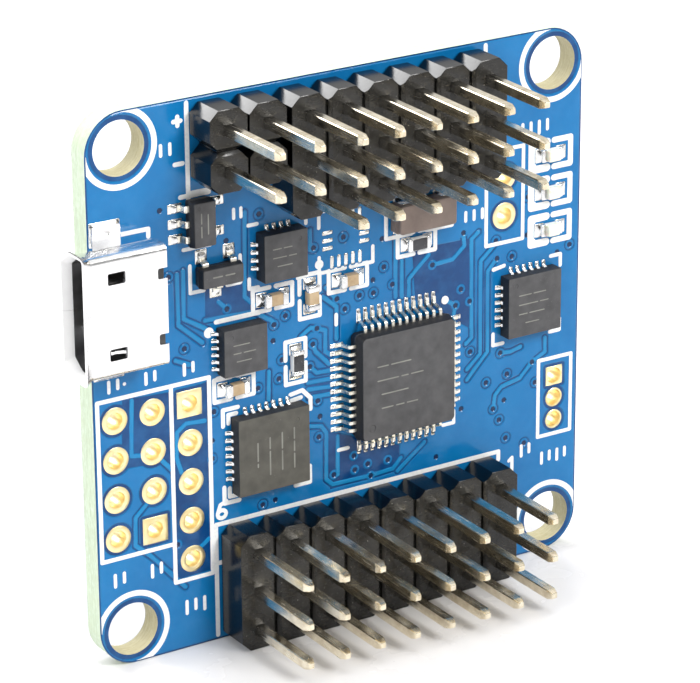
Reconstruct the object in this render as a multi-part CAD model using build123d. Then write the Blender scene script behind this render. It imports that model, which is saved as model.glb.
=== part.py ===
from build123d import *
import math
import os

# Multirotor flight controller board, modelled as a kit of separate pieces.
# Millimetres. The board stands on its lower edge: +X runs along the header
# rows, +Z runs from the receiver header up to the output header, and the
# component side faces -Y. The origin is the centre of the square pattern of
# mounting holes, on the rear face of the board.
#
# Each piece is drawn lying flat, with u = X, v = Z and w = height above the
# rear face, and is stood up on export.

os.makedirs("parts", exist_ok=True)

# ---------------------------------------------------------------- board ----
BOARD_W = 35.0          # outline, both ways
BOARD_T = 1.60          # total thickness, solder mask included
CORNER_R = 2.5
MASK_T = 0.04
HOLE_PITCH = 30.5       # square pattern of the mounting holes
HOLE_R = 1.70           # clearance for M3 with a rubber grommet sleeve
PITCH = 2.54            # header and pad pitch

# ------------------------------------------------------- plated through ----
DRILL_R = 0.50          # finished hole
PLATE_R = 0.535         # outside of the copper barrel
RING_R = 0.86           # annular ring on the pads
HDR_RING_R = 0.82       # annular ring under the headers

# --------------------------------------------------------------- headers ---
PIN_SQ = 0.64
PIN_TOP = 8.54          # tip height above the component side
PIN_TAIL = 1.35         # tail length behind the rear face
PIN_POINT = 0.42        # length of the tapered tip
PIN_POINT_SQ = 0.38
HOUSING_H = 2.54
HOUSING_CH = 0.58       # corner bevel at every position
GROOVE_W, GROOVE_D = 0.18, 0.45   # break groove between positions
RX_COL0, RX_ROW0, RX_COLS, RX_ROWS = -7.845, -11.15, 8, 3
OUT_COL0, OUT_ROW0, OUT_COLS, OUT_ROWS = -3.85, 15.90, 6, 3
BEEP_COL, BAT_COL, SMALL_ROW0 = -9.38, -6.72, 15.98

# ---------------------------------------------------------- pad patterns ---
PORT_A, PORT_B, PORT_C = -16.07, -13.53, -10.99
PORT_ROW0 = -1.50
BOOT_X, BOOT_Z = 11.74, (8.50, 5.96)
AUX_X, AUX_Z, AUX_PITCH = 15.73, -5.56, 1.50

# --------------------------------------------------------- chip packages ---
MCU_C, MCU_S, MCU_H, MCU_PITCH = (3.72, -2.76), 7.0, 1.40, 0.50
GYRO_C, GYRO_S, GYRO_H = (13.52, 0.05), 4.0, 0.90
BRIDGE_C, BRIDGE_S, BRIDGE_H = (-5.66, -5.52), 5.0, 0.90
MAG_C, MAG_S, MAG_H = (-4.71, 6.90), 3.0, 1.00
AUX_C, AUX_S, AUX_H = (-7.54, 1.44), 3.0, 0.90
REG_C = (-10.26, 9.96)
TRAN_C = (-9.03, 6.46)
RESO_C = (5.42, 7.50)
FOOT_C = (0.12, 6.84)   # unfitted sensor footprint

# Two-terminal parts: centre u, centre v, turned 90 degrees or not
CAPS = [(-5.10, 4.02, 0), (-2.50, 3.61, 1), (0.24, 4.19, 0), (-7.90, -1.13, 0)]
RESISTORS = [(5.22, 5.51, 0), (-3.55, -0.43, 1)]
LEDS = [(15.20, 9.38), (15.20, 6.92), (15.20, 4.48)]
CHIP_L, CHIP_W = 1.60, 0.80

# ------------------------------------------------------------ USB socket ---
USB_MOUTH, USB_BACK = -19.30, -13.72
USB_FLARE_U, USB_FLARE = -18.70, 0.30   # where the lip starts to open, and by how much
USB_V = 6.14            # centre line
USB_W, USB_H = 7.45, 2.60
USB_WALL = 0.22

T = BOARD_T
HALF = BOARD_W / 2


# ------------------------------------------------------------- helpers -----
def blk(u0, u1, v0, v1, w0, w1):
    return Pos((u0 + u1) / 2, (v0 + v1) / 2, (w0 + w1) / 2) * Box(u1 - u0, v1 - v0, w1 - w0)


def cyl(u, v, w0, w1, r):
    return Pos(u, v, (w0 + w1) / 2) * Cylinder(r, w1 - w0)


def prism_uv(points, w0, w1):
    """Closed outline in the board plane, raised from w0 to w1."""
    face = make_face(Polyline(*[(p[0], p[1]) for p in points], close=True).edges())
    return extrude(Pos(0, 0, w0) * face, amount=w1 - w0)


def prism_uw(points, v0, v1):
    """Closed outline in the u-w plane, drawn out from v0 to v1."""
    face = make_face(Polyline(*[(p[0], 0, p[1]) for p in points], close=True).edges())
    solid = extrude(face, amount=v1 - v0, dir=(0, 1, 0))
    return Pos(0, v0, 0) * solid


def solids_of(shapes):
    out = []
    for s in shapes if isinstance(shapes, (list, tuple)) else [shapes]:
        out.extend(s.solids())
    return out


NODES = []


def save(name, shapes):
    group = [Rot(90, 0, 0) * s for s in solids_of(shapes)]
    out = group[0] if len(group) == 1 else Compound(children=group)
    out.label = name
    export_step(out, "parts/%s.step" % name)
    NODES.append(name)


def around(point, k, n=4):
    """Turn a point about the w axis by k quarter turns."""
    a = math.radians(90 * k)
    return (point[0] * math.cos(a) - point[1] * math.sin(a), point[0] * math.sin(a) + point[1] * math.cos(a))


# --------------------------------------------------- hole and pad tables ---
RX = [(RX_COL0 + PITCH * i, RX_ROW0 - PITCH * r) for r in range(RX_ROWS) for i in range(RX_COLS)]
OUT = [(OUT_COL0 + PITCH * i, OUT_ROW0 - PITCH * r) for r in range(OUT_ROWS) for i in range(OUT_COLS)]
BEEP = [(BEEP_COL, SMALL_ROW0 - PITCH * r) for r in range(2)]
BAT = [(BAT_COL, SMALL_ROW0 - PITCH * r) for r in range(2)]
HEADER_HOLES = RX + OUT + BEEP + BAT
GRID = [(u, PORT_ROW0 - PITCH * r) for u in (PORT_A, PORT_B) for r in range(4)]
COLUMN = [(PORT_C, PORT_ROW0 - PITCH * r) for r in range(5)]
BOOT = [(BOOT_X, v) for v in BOOT_Z]
AUX = [(AUX_X, AUX_Z - AUX_PITCH * r) for r in range(3)]
SQUARE_PADS = [(PORT_B, PORT_ROW0 - PITCH * 3), (PORT_C, PORT_ROW0), (AUX_X, AUX_Z)]
MOUNT = [(su * HOLE_PITCH / 2, sv * HOLE_PITCH / 2) for su in (-1, 1) for sv in (-1, 1)]


def is_square(p):
    return any(abs(p[0] - q[0]) < 0.01 and abs(p[1] - q[1]) < 0.01 for q in SQUARE_PADS)


# Surface pads: (u, v, size u, size v)
def quad_pads(c, size, n, pitch, width, inner, outer, sides=(0, 1, 2, 3)):
    """Pads on the sides of a square package; side 0 faces +u, 1 +v, 2 -u, 3 -v."""
    out = []
    for k in sides:
        for i in range(n):
            t = (i - (n - 1) / 2) * pitch
            r0, r1 = size / 2 - inner, size / 2 + outer
            p, q = around((r0, t - width / 2), k), around((r1, t + width / 2), k)
            out.append((c[0] + (p[0] + q[0]) / 2, c[1] + (p[1] + q[1]) / 2, abs(p[0] - q[0]), abs(p[1] - q[1])))
    return out


MCU_PADS = quad_pads(MCU_C, MCU_S, 12, MCU_PITCH, 0.28, -0.35, 1.30)
GYRO_PADS = quad_pads(GYRO_C, GYRO_S, 6, 0.50, 0.28, 0.40, 0.42)
BRIDGE_PADS = quad_pads(BRIDGE_C, BRIDGE_S, 7, 0.50, 0.28, 0.40, 0.42)
MAG_PADS = quad_pads(MAG_C, MAG_S, 4, 0.50, 0.28, 0.40, 0.36)
AUX_PADS = quad_pads(AUX_C, AUX_S, 6, 0.45, 0.25, 0.40, 0.36, sides=(0, 2))
REG_LEADS = [(-1, 0.95), (-1, 0.0), (-1, -0.95), (1, 0.95), (1, -0.95)]       # side, offset
TRAN_LEADS = [(1, 0.95), (1, -0.95), (-1, 0.0)]
REG_PADS = [(REG_C[0] + s * 1.42, REG_C[1] + o, 0.95, 0.60) for s, o in REG_LEADS]
TRAN_PADS = [(TRAN_C[0] + o, TRAN_C[1] + s * 1.15, 0.80, 0.90) for s, o in TRAN_LEADS]
RESO_PADS = [(RESO_C[0] + o, RESO_C[1], 0.90, 2.30) for o in (-1.45, 0.0, 1.45)]
CHIP_PADS = []
for u, v, turned in CAPS + RESISTORS + [(a, b, 0) for a, b in LEDS]:
    for s in (-1, 1):
        if turned:
            CHIP_PADS.append((u, v + s * 0.80, 0.90, 0.72))
        else:
            CHIP_PADS.append((u + s * 0.80, v, 0.72, 0.90))
FOOT_PADS = (
    [(FOOT_C[0] - 1.31, FOOT_C[1] + o, 0.74, 0.26) for o in (0.52, 0.02, -0.48)]
    + [(FOOT_C[0] + 1.31, FOOT_C[1] + o, 0.74, 0.26) for o in (0.02, -0.48)]
    + [(FOOT_C[0] + o, FOOT_C[1] - 1.42, 0.26, 0.82) for o in (-1.0, -0.5, 0.0, 0.5, 1.0)]
    + [(FOOT_C[0] + o, FOOT_C[1] + 1.42, 0.26, 0.70) for o in (0.5, 1.0)]
)
USB_TAIL_V = [USB_V + (i - 2) * 0.65 for i in range(5)]
USB_PADS = [(USB_BACK + 0.42, v, 0.84, 0.36) for v in USB_TAIL_V]
USB_TABS = [(-16.36, USB_V + s * 4.15, 2.05, 1.50) for s in (-1, 1)]
SURFACE = MCU_PADS + GYRO_PADS + BRIDGE_PADS + MAG_PADS + AUX_PADS + REG_PADS + TRAN_PADS + RESO_PADS + CHIP_PADS + USB_PADS + USB_TABS

# ------------------------------------------------------------- the board ---
outline = RectangleRounded(BOARD_W, BOARD_W, CORNER_R)
for p in MOUNT:
    outline -= Pos(*p) * Circle(HOLE_R)

core = outline
drilled = [Pos(*p) * Circle(PLATE_R) for p in HEADER_HOLES + GRID + COLUMN + BOOT + AUX]
core = core - drilled
save("pcb_substrate", extrude(Pos(0, 0, MASK_T) * core, amount=T - 2 * MASK_T))


def pad_shape(p, r):
    return Pos(*p) * (Rectangle(2 * r, 2 * r) if is_square(p) else Circle(r))


ring_openings = [pad_shape(p, RING_R) for p in GRID + COLUMN + BOOT]
ring_openings += [pad_shape(p, 0.64) for p in AUX]
ring_openings += [Pos(*p) * Circle(HDR_RING_R) for p in HEADER_HOLES]
front = outline - ring_openings - [Pos(p[0], p[1]) * Rectangle(p[2], p[3]) for p in SURFACE + FOOT_PADS]
save("solder_mask_front", extrude(Pos(0, 0, T - MASK_T) * front, amount=MASK_T))
rear = outline - ring_openings
save("solder_mask_rear", extrude(rear, amount=MASK_T))


# Plated holes: a copper barrel through the board with a ring on each side
def plated(p, r, drill=DRILL_R, wall=PLATE_R):
    lower = extrude(pad_shape(p, r), amount=MASK_T)
    upper = extrude(Pos(0, 0, T - MASK_T) * pad_shape(p, r), amount=MASK_T)
    barrel = cyl(p[0], p[1], 0, T, wall)
    return (barrel + lower + upper) - cyl(p[0], p[1], -0.1, T + 0.1, drill)


save("serial_port_pads", [plated(p, RING_R) for p in GRID])
save("receiver_port_pads", [plated(p, RING_R) for p in COLUMN])
save("boot_pads", [plated(p, RING_R) for p in BOOT])
save("spare_port_pads", [plated(p, 0.64) for p in AUX])
save("header_hole_plating", [plated(p, HDR_RING_R) for p in HEADER_HOLES])

# Copper lands for the surface-mounted pieces, flush with the mask
save("component_lands", [blk(p[0] - p[2] / 2, p[0] + p[2] / 2, p[1] - p[3] / 2, p[1] + p[3] / 2, T - MASK_T, T) for p in SURFACE])
save("unfitted_sensor_lands", [blk(p[0] - p[2] / 2, p[0] + p[2] / 2, p[1] - p[3] / 2, p[1] + p[3] / 2, T - MASK_T, T) for p in FOOT_PADS])


# --------------------------------------------------------------- headers ---
def housing(col0, row0, cols, rows, notched="v"):
    """Bevelled block. Notches run between columns, or between rows if turned."""
    h, c = PITCH / 2, HOUSING_CH
    pts = []
    if notched == "v":
        top, bot = row0 + h, row0 - PITCH * (rows - 1) - h
        for i in range(cols):
            u = col0 + PITCH * i
            pts += [(u - h, top - c), (u - h + c, top), (u + h - c, top)]
        pts += [(col0 + PITCH * (cols - 1) + h, top - c), (col0 + PITCH * (cols - 1) + h, bot + c)]
        for i in reversed(range(cols)):
            u = col0 + PITCH * i
            pts += [(u + h - c, bot), (u - h + c, bot), (u - h, bot + c)]
    else:
        left, right = col0 - h, col0 + PITCH * (cols - 1) + h
        for r in range(rows):
            v = row0 - PITCH * r
            pts += [(left + c, v + h), (left, v + h - c), (left, v - h + c)]
        v = row0 - PITCH * (rows - 1)
        pts += [(left + c, v - h), (right - c, v - h)]
        for r in reversed(range(rows)):
            v = row0 - PITCH * r
            pts += [(right, v - h + c), (right, v + h - c), (right - c, v + h)]
    clean = []
    for p in pts:
        if not clean or math.dist(p, clean[-1]) > 1e-6:
            clean.append(p)
    if math.dist(clean[0], clean[-1]) < 1e-6:
        clean.pop()
    solid = prism_uv(clean, T, T + HOUSING_H)
    cuts = [blk(col0 + PITCH * i - PIN_SQ / 2, col0 + PITCH * i + PIN_SQ / 2, row0 - PITCH * r - PIN_SQ / 2, row0 - PITCH * r + PIN_SQ / 2, T - 1, T + HOUSING_H + 1)
            for i in range(cols) for r in range(rows)]
    floor, far = T + HOUSING_H - GROOVE_D, 100.0
    if notched == "v":
        edges = [col0 + PITCH * i + h for i in range(cols - 1)]
        cuts += [blk(u - GROOVE_W / 2, u + GROOVE_W / 2, -far, far, floor, floor + 2) for u in edges]
    else:
        edges = [row0 - PITCH * r - h for r in range(rows - 1)]
        cuts += [blk(-far, far, v - GROOVE_W / 2, v + GROOVE_W / 2, floor, floor + 2) for v in edges]
    return solid - cuts


def square_pin():
    body = blk(-PIN_SQ / 2, PIN_SQ / 2, -PIN_SQ / 2, PIN_SQ / 2, -PIN_TAIL + PIN_POINT, T + PIN_TOP - PIN_POINT)
    big, small = Rectangle(PIN_SQ, PIN_SQ), Rectangle(PIN_POINT_SQ, PIN_POINT_SQ)
    z0 = T + PIN_TOP - PIN_POINT
    tip = loft([Pos(0, 0, z0) * big, Pos(0, 0, T + PIN_TOP) * small])
    tail = loft([Pos(0, 0, -PIN_TAIL) * small, Pos(0, 0, -PIN_TAIL + PIN_POINT) * big])
    return body + tip + tail


def rear_fillet():
    """Solder cone behind the board with a plug that runs up the barrel."""
    cone = Pos(0, 0, -0.40) * Cone(0.52, 0.80, 0.80)
    plug = cyl(0, 0, -0.01, 0.90, DRILL_R)
    shank = blk(-PIN_SQ / 2, PIN_SQ / 2, -PIN_SQ / 2, PIN_SQ / 2, -PIN_TAIL - 1, 3)
    return (cone + plug) - shank


pin = square_pin().solids()[0]
fillet_ = rear_fillet().solids()[0]
for name, col0, row0, cols, rows, notched, holes in (
    ("receiver_header", RX_COL0, RX_ROW0, RX_COLS, RX_ROWS, "v", RX),
    ("output_header", OUT_COL0, OUT_ROW0, OUT_COLS, OUT_ROWS, "v", OUT),
    ("beeper_header", BEEP_COL, SMALL_ROW0, 1, 2, "h", BEEP),
    ("battery_header", BAT_COL, SMALL_ROW0, 1, 2, "h", BAT),
):
    save(name + "_housing", housing(col0, row0, cols, rows, notched))
    save(name + "_pins", [Pos(p[0], p[1], 0) * pin for p in holes])
    save(name + "_solder", [Pos(p[0], p[1], 0) * fillet_ for p in holes])

# ------------------------------------------------------- microcontroller ---
MCU_W0 = T + 0.10       # underside of the moulding
MCU_MID = MCU_W0 + 0.70


def moulding(c, s, w0, mid, w1, draft, r):
    """Moulded body with draft above and below the parting line."""
    full = RectangleRounded(s, s, r)
    small = RectangleRounded(s - 2 * draft, s - 2 * draft, r)
    upper = loft([Pos(0, 0, mid) * full, Pos(0, 0, w1) * small])
    lower = loft([Pos(0, 0, w0) * small, Pos(0, 0, mid) * full])
    return Pos(c[0], c[1], 0) * (upper + lower)


def gull(r0, r1, h_top, thick, width, foot):
    """Gull-wing lead in the radial plane, from r0 inside the body to r1."""
    knee, heel = r0 + foot[0], r0 + foot[1]
    pts = [(r0, h_top), (knee, h_top), (heel, T + thick), (r1, T + thick), (r1, T), (heel - thick * 0.75, T), (knee - thick * 0.75, h_top - thick), (r0, h_top - thick)]
    return prism_uw(pts, -width / 2, width / 2)


half = MCU_S / 2
mcu = moulding(MCU_C, MCU_S, MCU_W0, MCU_MID, MCU_W0 + MCU_H, 0.14, 0.35)
mcu -= Pos(MCU_C[0] + 2.55, MCU_C[1] + 2.45, MCU_W0 + MCU_H) * Cylinder(0.32, 0.10)
lead = gull(half - 0.45, half + 1.02, MCU_MID + 0.065, 0.13, 0.21, (0.78, 0.98)).solids()[0]
mcu_leads = []
for k in range(4):
    for i in range(12):
        t = (i - 5.5) * MCU_PITCH
        mcu_leads.append(Pos(MCU_C[0], MCU_C[1], 0) * (Rot(0, 0, 90 * k) * (Pos(0, t, 0) * lead)))
paddle = blk(MCU_C[0] - 2.1, MCU_C[0] + 2.1, MCU_C[1] - 2.1, MCU_C[1] + 2.1, MCU_MID - 0.13, MCU_MID)
die = blk(MCU_C[0] - 1.7, MCU_C[0] + 1.7, MCU_C[1] - 1.7, MCU_C[1] + 1.7, MCU_MID, MCU_MID + 0.28)
mcu = mcu - mcu_leads - paddle - die
save("mcu_body", mcu)
save("mcu_leads", mcu_leads)
save("mcu_die_paddle", paddle)
save("mcu_die", die)


# ------------------------------------------------ leadless chip packages ---
def leadless(name, c, s, h, n, pitch, width, sides, die_s, dimple):
    """Square leadless package: moulded body, edge terminals with their
    solder, and the silicon die sealed in the middle."""
    w0 = T + 0.03
    body = Pos(c[0], c[1], 0) * extrude(Pos(0, 0, w0) * RectangleRounded(s, s, 0.06), amount=h)
    body -= Pos(c[0] + dimple[0], c[1] + dimple[1], w0 + h) * Cylinder(0.16, 0.06)
    die_box = blk(c[0] - die_s / 2, c[0] + die_s / 2, c[1] - die_s / 2, c[1] + die_s / 2, w0 + 0.22, w0 + 0.50)
    terminal = blk(s / 2 - 0.40, s / 2 + 0.015, -width / 2, width / 2, T, w0 + 0.20)
    wedge = prism_uw([(s / 2 + 0.015, T), (s / 2 + 0.36, T), (s / 2 + 0.30, T + 0.05), (s / 2 + 0.10, T + 0.14), (s / 2 + 0.015, T + 0.23)], -width / 2, width / 2)
    finger = (terminal + wedge).solids()[0]
    fingers = []
    for k in sides:
        for i in range(n):
            fingers.append(Pos(c[0], c[1], 0) * (Rot(0, 0, 90 * k) * (Pos(0, (i - (n - 1) / 2) * pitch, 0) * finger)))
    save(name + "_body", body - fingers - die_box)
    save(name + "_terminals", fingers)
    save(name + "_die", die_box)


leadless("gyro", GYRO_C, GYRO_S, GYRO_H, 6, 0.50, 0.26, (0, 1, 2, 3), 2.4, (-1.45, 1.45))
leadless("usb_bridge", BRIDGE_C, BRIDGE_S, BRIDGE_H, 7, 0.50, 0.26, (0, 1, 2, 3), 2.6, (1.62, 1.72))
leadless("magnetometer", MAG_C, MAG_S, MAG_H, 4, 0.50, 0.26, (0, 1, 2, 3), 1.8, (0.95, 0.95))
leadless("memory_chip", AUX_C, AUX_S, AUX_H, 6, 0.45, 0.23, (0, 2), 1.6, (-1.0, 1.0))


# ------------------------------------------------ small leaded packages ----
def small_package(c, lu, lv, h, draft=0.08):
    w0 = T + 0.06
    mid = w0 + h * 0.5
    full, less = Rectangle(lu, lv), Rectangle(lu - 2 * draft, lv - 2 * draft)
    return Pos(c[0], c[1], 0) * (loft([Pos(0, 0, mid) * full, Pos(0, 0, w0 + h) * less]) + loft([Pos(0, 0, w0) * less, Pos(0, 0, mid) * full]))


reg_lead = gull(0.50, 1.42, T + 0.06 + 0.56, 0.13, 0.42, (0.52, 0.68)).solids()[0]
reg_leads = [Pos(REG_C[0], REG_C[1] + o, 0) * (Rot(0, 0, 0 if s > 0 else 180) * reg_lead) for s, o in REG_LEADS]
save("regulator_body", small_package(REG_C, 1.60, 2.90, 1.05) - reg_leads)
save("regulator_leads", reg_leads)
tran_lead = gull(0.38, 1.22, T + 0.06 + 0.52, 0.12, 0.42, (0.48, 0.63)).solids()[0]
tran_leads = [Pos(TRAN_C[0] + o, TRAN_C[1], 0) * (Rot(0, 0, 90 if s > 0 else -90) * tran_lead) for s, o in TRAN_LEADS]
save("transistor_body", small_package(TRAN_C, 2.90, 1.30, 0.95) - tran_leads)
save("transistor_leads", tran_leads)

# ------------------------------------------------------------- resonator ---
RESO_L, RESO_W, RESO_H = 4.20, 1.90, 1.10
reso = blk(RESO_C[0] - RESO_L / 2, RESO_C[0] + RESO_L / 2, RESO_C[1] - RESO_W / 2, RESO_C[1] + RESO_W / 2, T + 0.02, T + 0.02 + RESO_H)
bands = []
for o in (-1.45, 0.0, 1.45):
    outer = blk(RESO_C[0] + o - 0.35, RESO_C[0] + o + 0.35, RESO_C[1] - RESO_W / 2 - 0.03, RESO_C[1] + RESO_W / 2 + 0.03, T, T + 0.80)
    inner = blk(RESO_C[0] + o - 0.36, RESO_C[0] + o + 0.36, RESO_C[1] - RESO_W / 2, RESO_C[1] + RESO_W / 2, T + 0.02, T + 1.0)
    bands.append(outer - inner)
save("resonator_body", reso)
save("resonator_terminals", bands)


# --------------------------------------------------- two-terminal pieces ---
def chip_part(u, v, turned, h, cap_t=0.32, skin=0.02):
    """Ceramic body inside two metal end caps, with solder up each end."""
    l, w = CHIP_L, CHIP_W
    body = blk(-l / 2 + skin, l / 2 - skin, -w / 2 + skin, w / 2 - skin, T + skin, T + h - skin)
    caps = []
    for s in (-1, 1):
        cap = blk(min(s * l / 2, s * (l / 2 - cap_t)), max(s * l / 2, s * (l / 2 - cap_t)), -w / 2, w / 2, T, T + h)
        solder = prism_uw([(s * l / 2, T), (s * (l / 2 + 0.32), T), (s * (l / 2 + 0.20), T + 0.08), (s * (l / 2 + 0.06), T + 0.24), (s * l / 2, T + min(0.42, h * 0.8))], -w / 2 + 0.03, w / 2 - 0.03)
        caps.append((cap + solder) - body)
    place = Pos(u, v, 0) * Rot(0, 0, 90 if turned else 0)
    return place * body, [place * c for c in caps]


bodies, ends = [], []
for u, v, turned in CAPS:
    b, e = chip_part(u, v, turned, 0.62, cap_t=0.38)
    bodies.append(b)
    ends += e
save("capacitor_bodies", bodies)
save("capacitor_end_caps", ends)
bodies, ends = [], []
for u, v, turned in RESISTORS:
    b, e = chip_part(u, v, turned, 0.45, cap_t=0.30)
    bodies.append(b)
    ends += e
save("resistor_bodies", bodies)
save("resistor_end_caps", ends)

bases, lenses, ends = [], [], []
for u, v in LEDS:
    b, e = chip_part(u, v, 0, 0.30, cap_t=0.34)
    bases.append(b)
    ends += e
    dome = blk(u - 0.46, u + 0.46, v - CHIP_W / 2 + 0.02, v + CHIP_W / 2 - 0.02, T + 0.28, T + 0.62)
    lenses.append(chamfer(dome.edges().group_by(Axis.Z)[-1], 0.08))
save("led_bases", bases)
save("led_lenses", lenses)
save("led_end_caps", ends)

# ------------------------------------------------------------ USB socket ---
def shell_profile(inset):
    """Keystone section of the socket in (v, w), inset by the wall."""
    half_w = USB_W / 2 - inset
    top, bot = T + USB_H - inset, T + 0.05 + inset
    return [(-half_w + 0.30, top), (half_w - 0.30, top), (half_w, top - 0.30), (half_w, T + 1.15), (half_w - 0.62, bot), (-half_w + 0.62, bot), (-half_w, T + 1.15), (-half_w, top - 0.30)]


def sweep_u(points, u0, u1):
    face = make_face(Polyline(*[(u0, USB_V + p[0], p[1]) for p in points], close=True).edges())
    return extrude(face, amount=u1 - u0, dir=(1, 0, 0))


def ring_face(inset, u):
    return make_face(Polyline(*[(u, USB_V + p[0], p[1]) for p in shell_profile(inset)], close=True).edges())


RUN = USB_FLARE_U - USB_MOUTH
lip = loft([ring_face(0, USB_FLARE_U), ring_face(-USB_FLARE, USB_MOUTH)])
throat = loft([ring_face(USB_WALL, USB_FLARE_U), ring_face(USB_WALL - USB_FLARE * 1.2, USB_FLARE_U - RUN * 1.2)])
shell = (sweep_u(shell_profile(0), USB_FLARE_U, USB_BACK) + lip) - throat - sweep_u(shell_profile(USB_WALL), USB_FLARE_U, USB_BACK + 1)
for s in (-1, 1):
    # mounting flanges, folded out onto the lands
    a, b = USB_V + s * (USB_W / 2 - 0.75), USB_V + s * (USB_W / 2 + 1.00)
    shell += blk(-17.30, -15.42, min(a, b), max(a, b), T, T + 0.22)
    # latch windows and the rear notches in the top wall
    shell -= blk(-17.62, -16.47, USB_V + s * 2.33 - 0.36, USB_V + s * 2.33 + 0.36, T + USB_H - 0.5, T + USB_H + 0.5)
    shell -= blk(USB_BACK - 0.62, USB_BACK + 0.5, USB_V + s * 2.03 - 0.33, USB_V + s * 2.03 + 0.33, T + USB_H - 0.5, T + USB_H + 0.5)
shell -= sweep_u(shell_profile(USB_WALL), USB_FLARE_U, USB_BACK + 1)
# the contact feet leave through a slot in the rear of the shell floor
shell -= blk(USB_BACK - 0.70, USB_BACK + 0.5, USB_V - 1.75, USB_V + 1.75, T - 0.1, T + 0.30)
save("usb_shell", shell)

block = sweep_u(shell_profile(USB_WALL), USB_BACK - 1.15, USB_BACK - 0.10)
tongue = blk(-18.15, USB_BACK - 1.15, USB_V - 1.85, USB_V + 1.85, T + 1.32, T + 1.92)
insulator = block + tongue
contacts = []
for v in USB_TAIL_V:
    strip = blk(-17.85, USB_BACK - 0.40, v - 0.12, v + 0.12, T + 1.17, T + 1.32)
    drop = blk(USB_BACK - 0.55, USB_BACK - 0.40, v - 0.12, v + 0.12, T, T + 1.32)
    foot = blk(USB_BACK - 0.55, USB_BACK + 0.62, v - 0.12, v + 0.12, T, T + 0.15)
    contacts.append(strip + drop + foot)
insulator = insulator - contacts
save("usb_insulator", insulator)
save("usb_contacts", contacts)
flange_solder = []
for s in (-1, 1):
    a, b = USB_V + s * (USB_W / 2 + 1.00), USB_V + s * (USB_W / 2 + 1.16)
    flange_solder.append(blk(-17.34, -15.38, min(a, b), max(a, b), T, T + 0.12))
save("usb_flange_solder", flange_solder)

print(len(NODES), "nodes")
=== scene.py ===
import bpy
import math
import numpy as np
from mathutils import Matrix, Vector
from mathutils.geometry import delaunay_2d_cdt


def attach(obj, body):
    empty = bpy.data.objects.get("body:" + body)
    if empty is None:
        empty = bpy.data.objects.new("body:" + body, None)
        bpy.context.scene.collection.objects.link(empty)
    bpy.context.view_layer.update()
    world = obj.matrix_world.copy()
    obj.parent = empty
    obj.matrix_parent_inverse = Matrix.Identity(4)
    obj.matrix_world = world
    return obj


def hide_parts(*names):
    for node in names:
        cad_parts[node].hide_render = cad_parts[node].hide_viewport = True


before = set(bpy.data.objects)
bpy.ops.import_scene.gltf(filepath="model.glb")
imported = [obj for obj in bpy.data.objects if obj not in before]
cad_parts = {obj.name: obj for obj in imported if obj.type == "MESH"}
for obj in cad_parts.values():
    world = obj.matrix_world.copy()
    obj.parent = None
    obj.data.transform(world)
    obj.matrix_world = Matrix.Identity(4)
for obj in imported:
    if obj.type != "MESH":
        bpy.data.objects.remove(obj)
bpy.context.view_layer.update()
RNG = np.random.default_rng(11)

# The board is drawn lying flat in millimetres: u runs along the header rows,
# v up the board and w out of the component side, from the rear face. put()
# stands it up in the row frame.
T = 1.60
PITCH = 2.54


def put(p):
    p = np.asarray(p, float)
    return np.column_stack([p[:, 0], -p[:, 2], p[:, 1]]) * 0.001


# ======================================================================
# Mesh helpers
# ======================================================================
class Geo:
    """Collects vertices and faces, with a material and a tone per face."""

    def __init__(self):
        self.v, self.f, self.m, self.t, self.n = [], [], [], [], 0
        self.xf = None

    def add(self, verts, faces, mat=0, tone=None):
        verts = np.asarray(verts, float)
        if self.xf is not None:
            verts = self.xf(verts)
        self.v.append(verts)
        n = self.n
        self.f += [tuple(int(i) + n for i in f) for f in faces]
        self.m += [mat] * len(faces)
        self.t += [(0.0, 0.0, 0.0)] * len(faces) if tone is None else [tuple(x) for x in tone]
        self.n += len(verts)

    def at(self, u, v, deg=0.0, w=0.0, tilt=(0.0, 0.0)):
        a = math.radians(deg)
        ca, sa = math.cos(a), math.sin(a)

        def go(p):
            q = np.array(p, float)
            x = q[:, 0] * ca - q[:, 1] * sa + u
            y = q[:, 0] * sa + q[:, 1] * ca + v
            z = q[:, 2] + w
            return np.column_stack([x + tilt[0] * (z - T), y + tilt[1] * (z - T), z])

        self.xf = go
        return self


def make(name, geo, mats, nodes=(), angle=35.0, tone=False, flat=False):
    me = bpy.data.meshes.new(name)
    me.from_pydata(put(np.concatenate(geo.v)).tolist(), [], geo.f)
    for m in mats:
        me.materials.append(m)
    me.polygons.foreach_set("material_index", geo.m)
    me.polygons.foreach_set("use_smooth", [not flat] * len(me.polygons))
    if tone:
        att = me.color_attributes.new("tone", "FLOAT_COLOR", "CORNER")
        vals = np.zeros((len(me.loops), 4), np.float32)
        vals[:, 3] = 1.0
        starts = np.zeros(len(me.polygons), np.int32)
        totals = np.zeros(len(me.polygons), np.int32)
        me.polygons.foreach_get("loop_start", starts)
        me.polygons.foreach_get("loop_total", totals)
        vals[:, :3] = np.repeat(np.array(geo.t, np.float32), totals, axis=0)
        att.data.foreach_set("color", vals.ravel())
    me.update()
    if not flat:
        me.set_sharp_from_angle(angle=math.radians(angle))
    o = bpy.data.objects.new(name, me)
    bpy.context.scene.collection.objects.link(o)
    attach(o, "root")
    if nodes:
        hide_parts(*nodes)
    return o


def rrect(su, sv, r, n=3, c=(0.0, 0.0)):
    r = max(min(r, su / 2 - 1e-4, sv / 2 - 1e-4), 1e-3)
    pts = []
    for k, (a, b) in enumerate(((1, 1), (-1, 1), (-1, -1), (1, -1))):
        for i in range(n + 1):
            t = math.radians(90 * k + 90 * i / n)
            pts.append((c[0] + a * (su / 2 - r) + r * math.cos(t), c[1] + b * (sv / 2 - r) + r * math.sin(t)))
    return np.array(pts)


def circle(r, n=32, c=(0.0, 0.0), phase=0.0):
    t = np.arange(n) * 2 * math.pi / n + phase
    return np.column_stack([c[0] + r * np.cos(t), c[1] + r * np.sin(t)])


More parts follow.
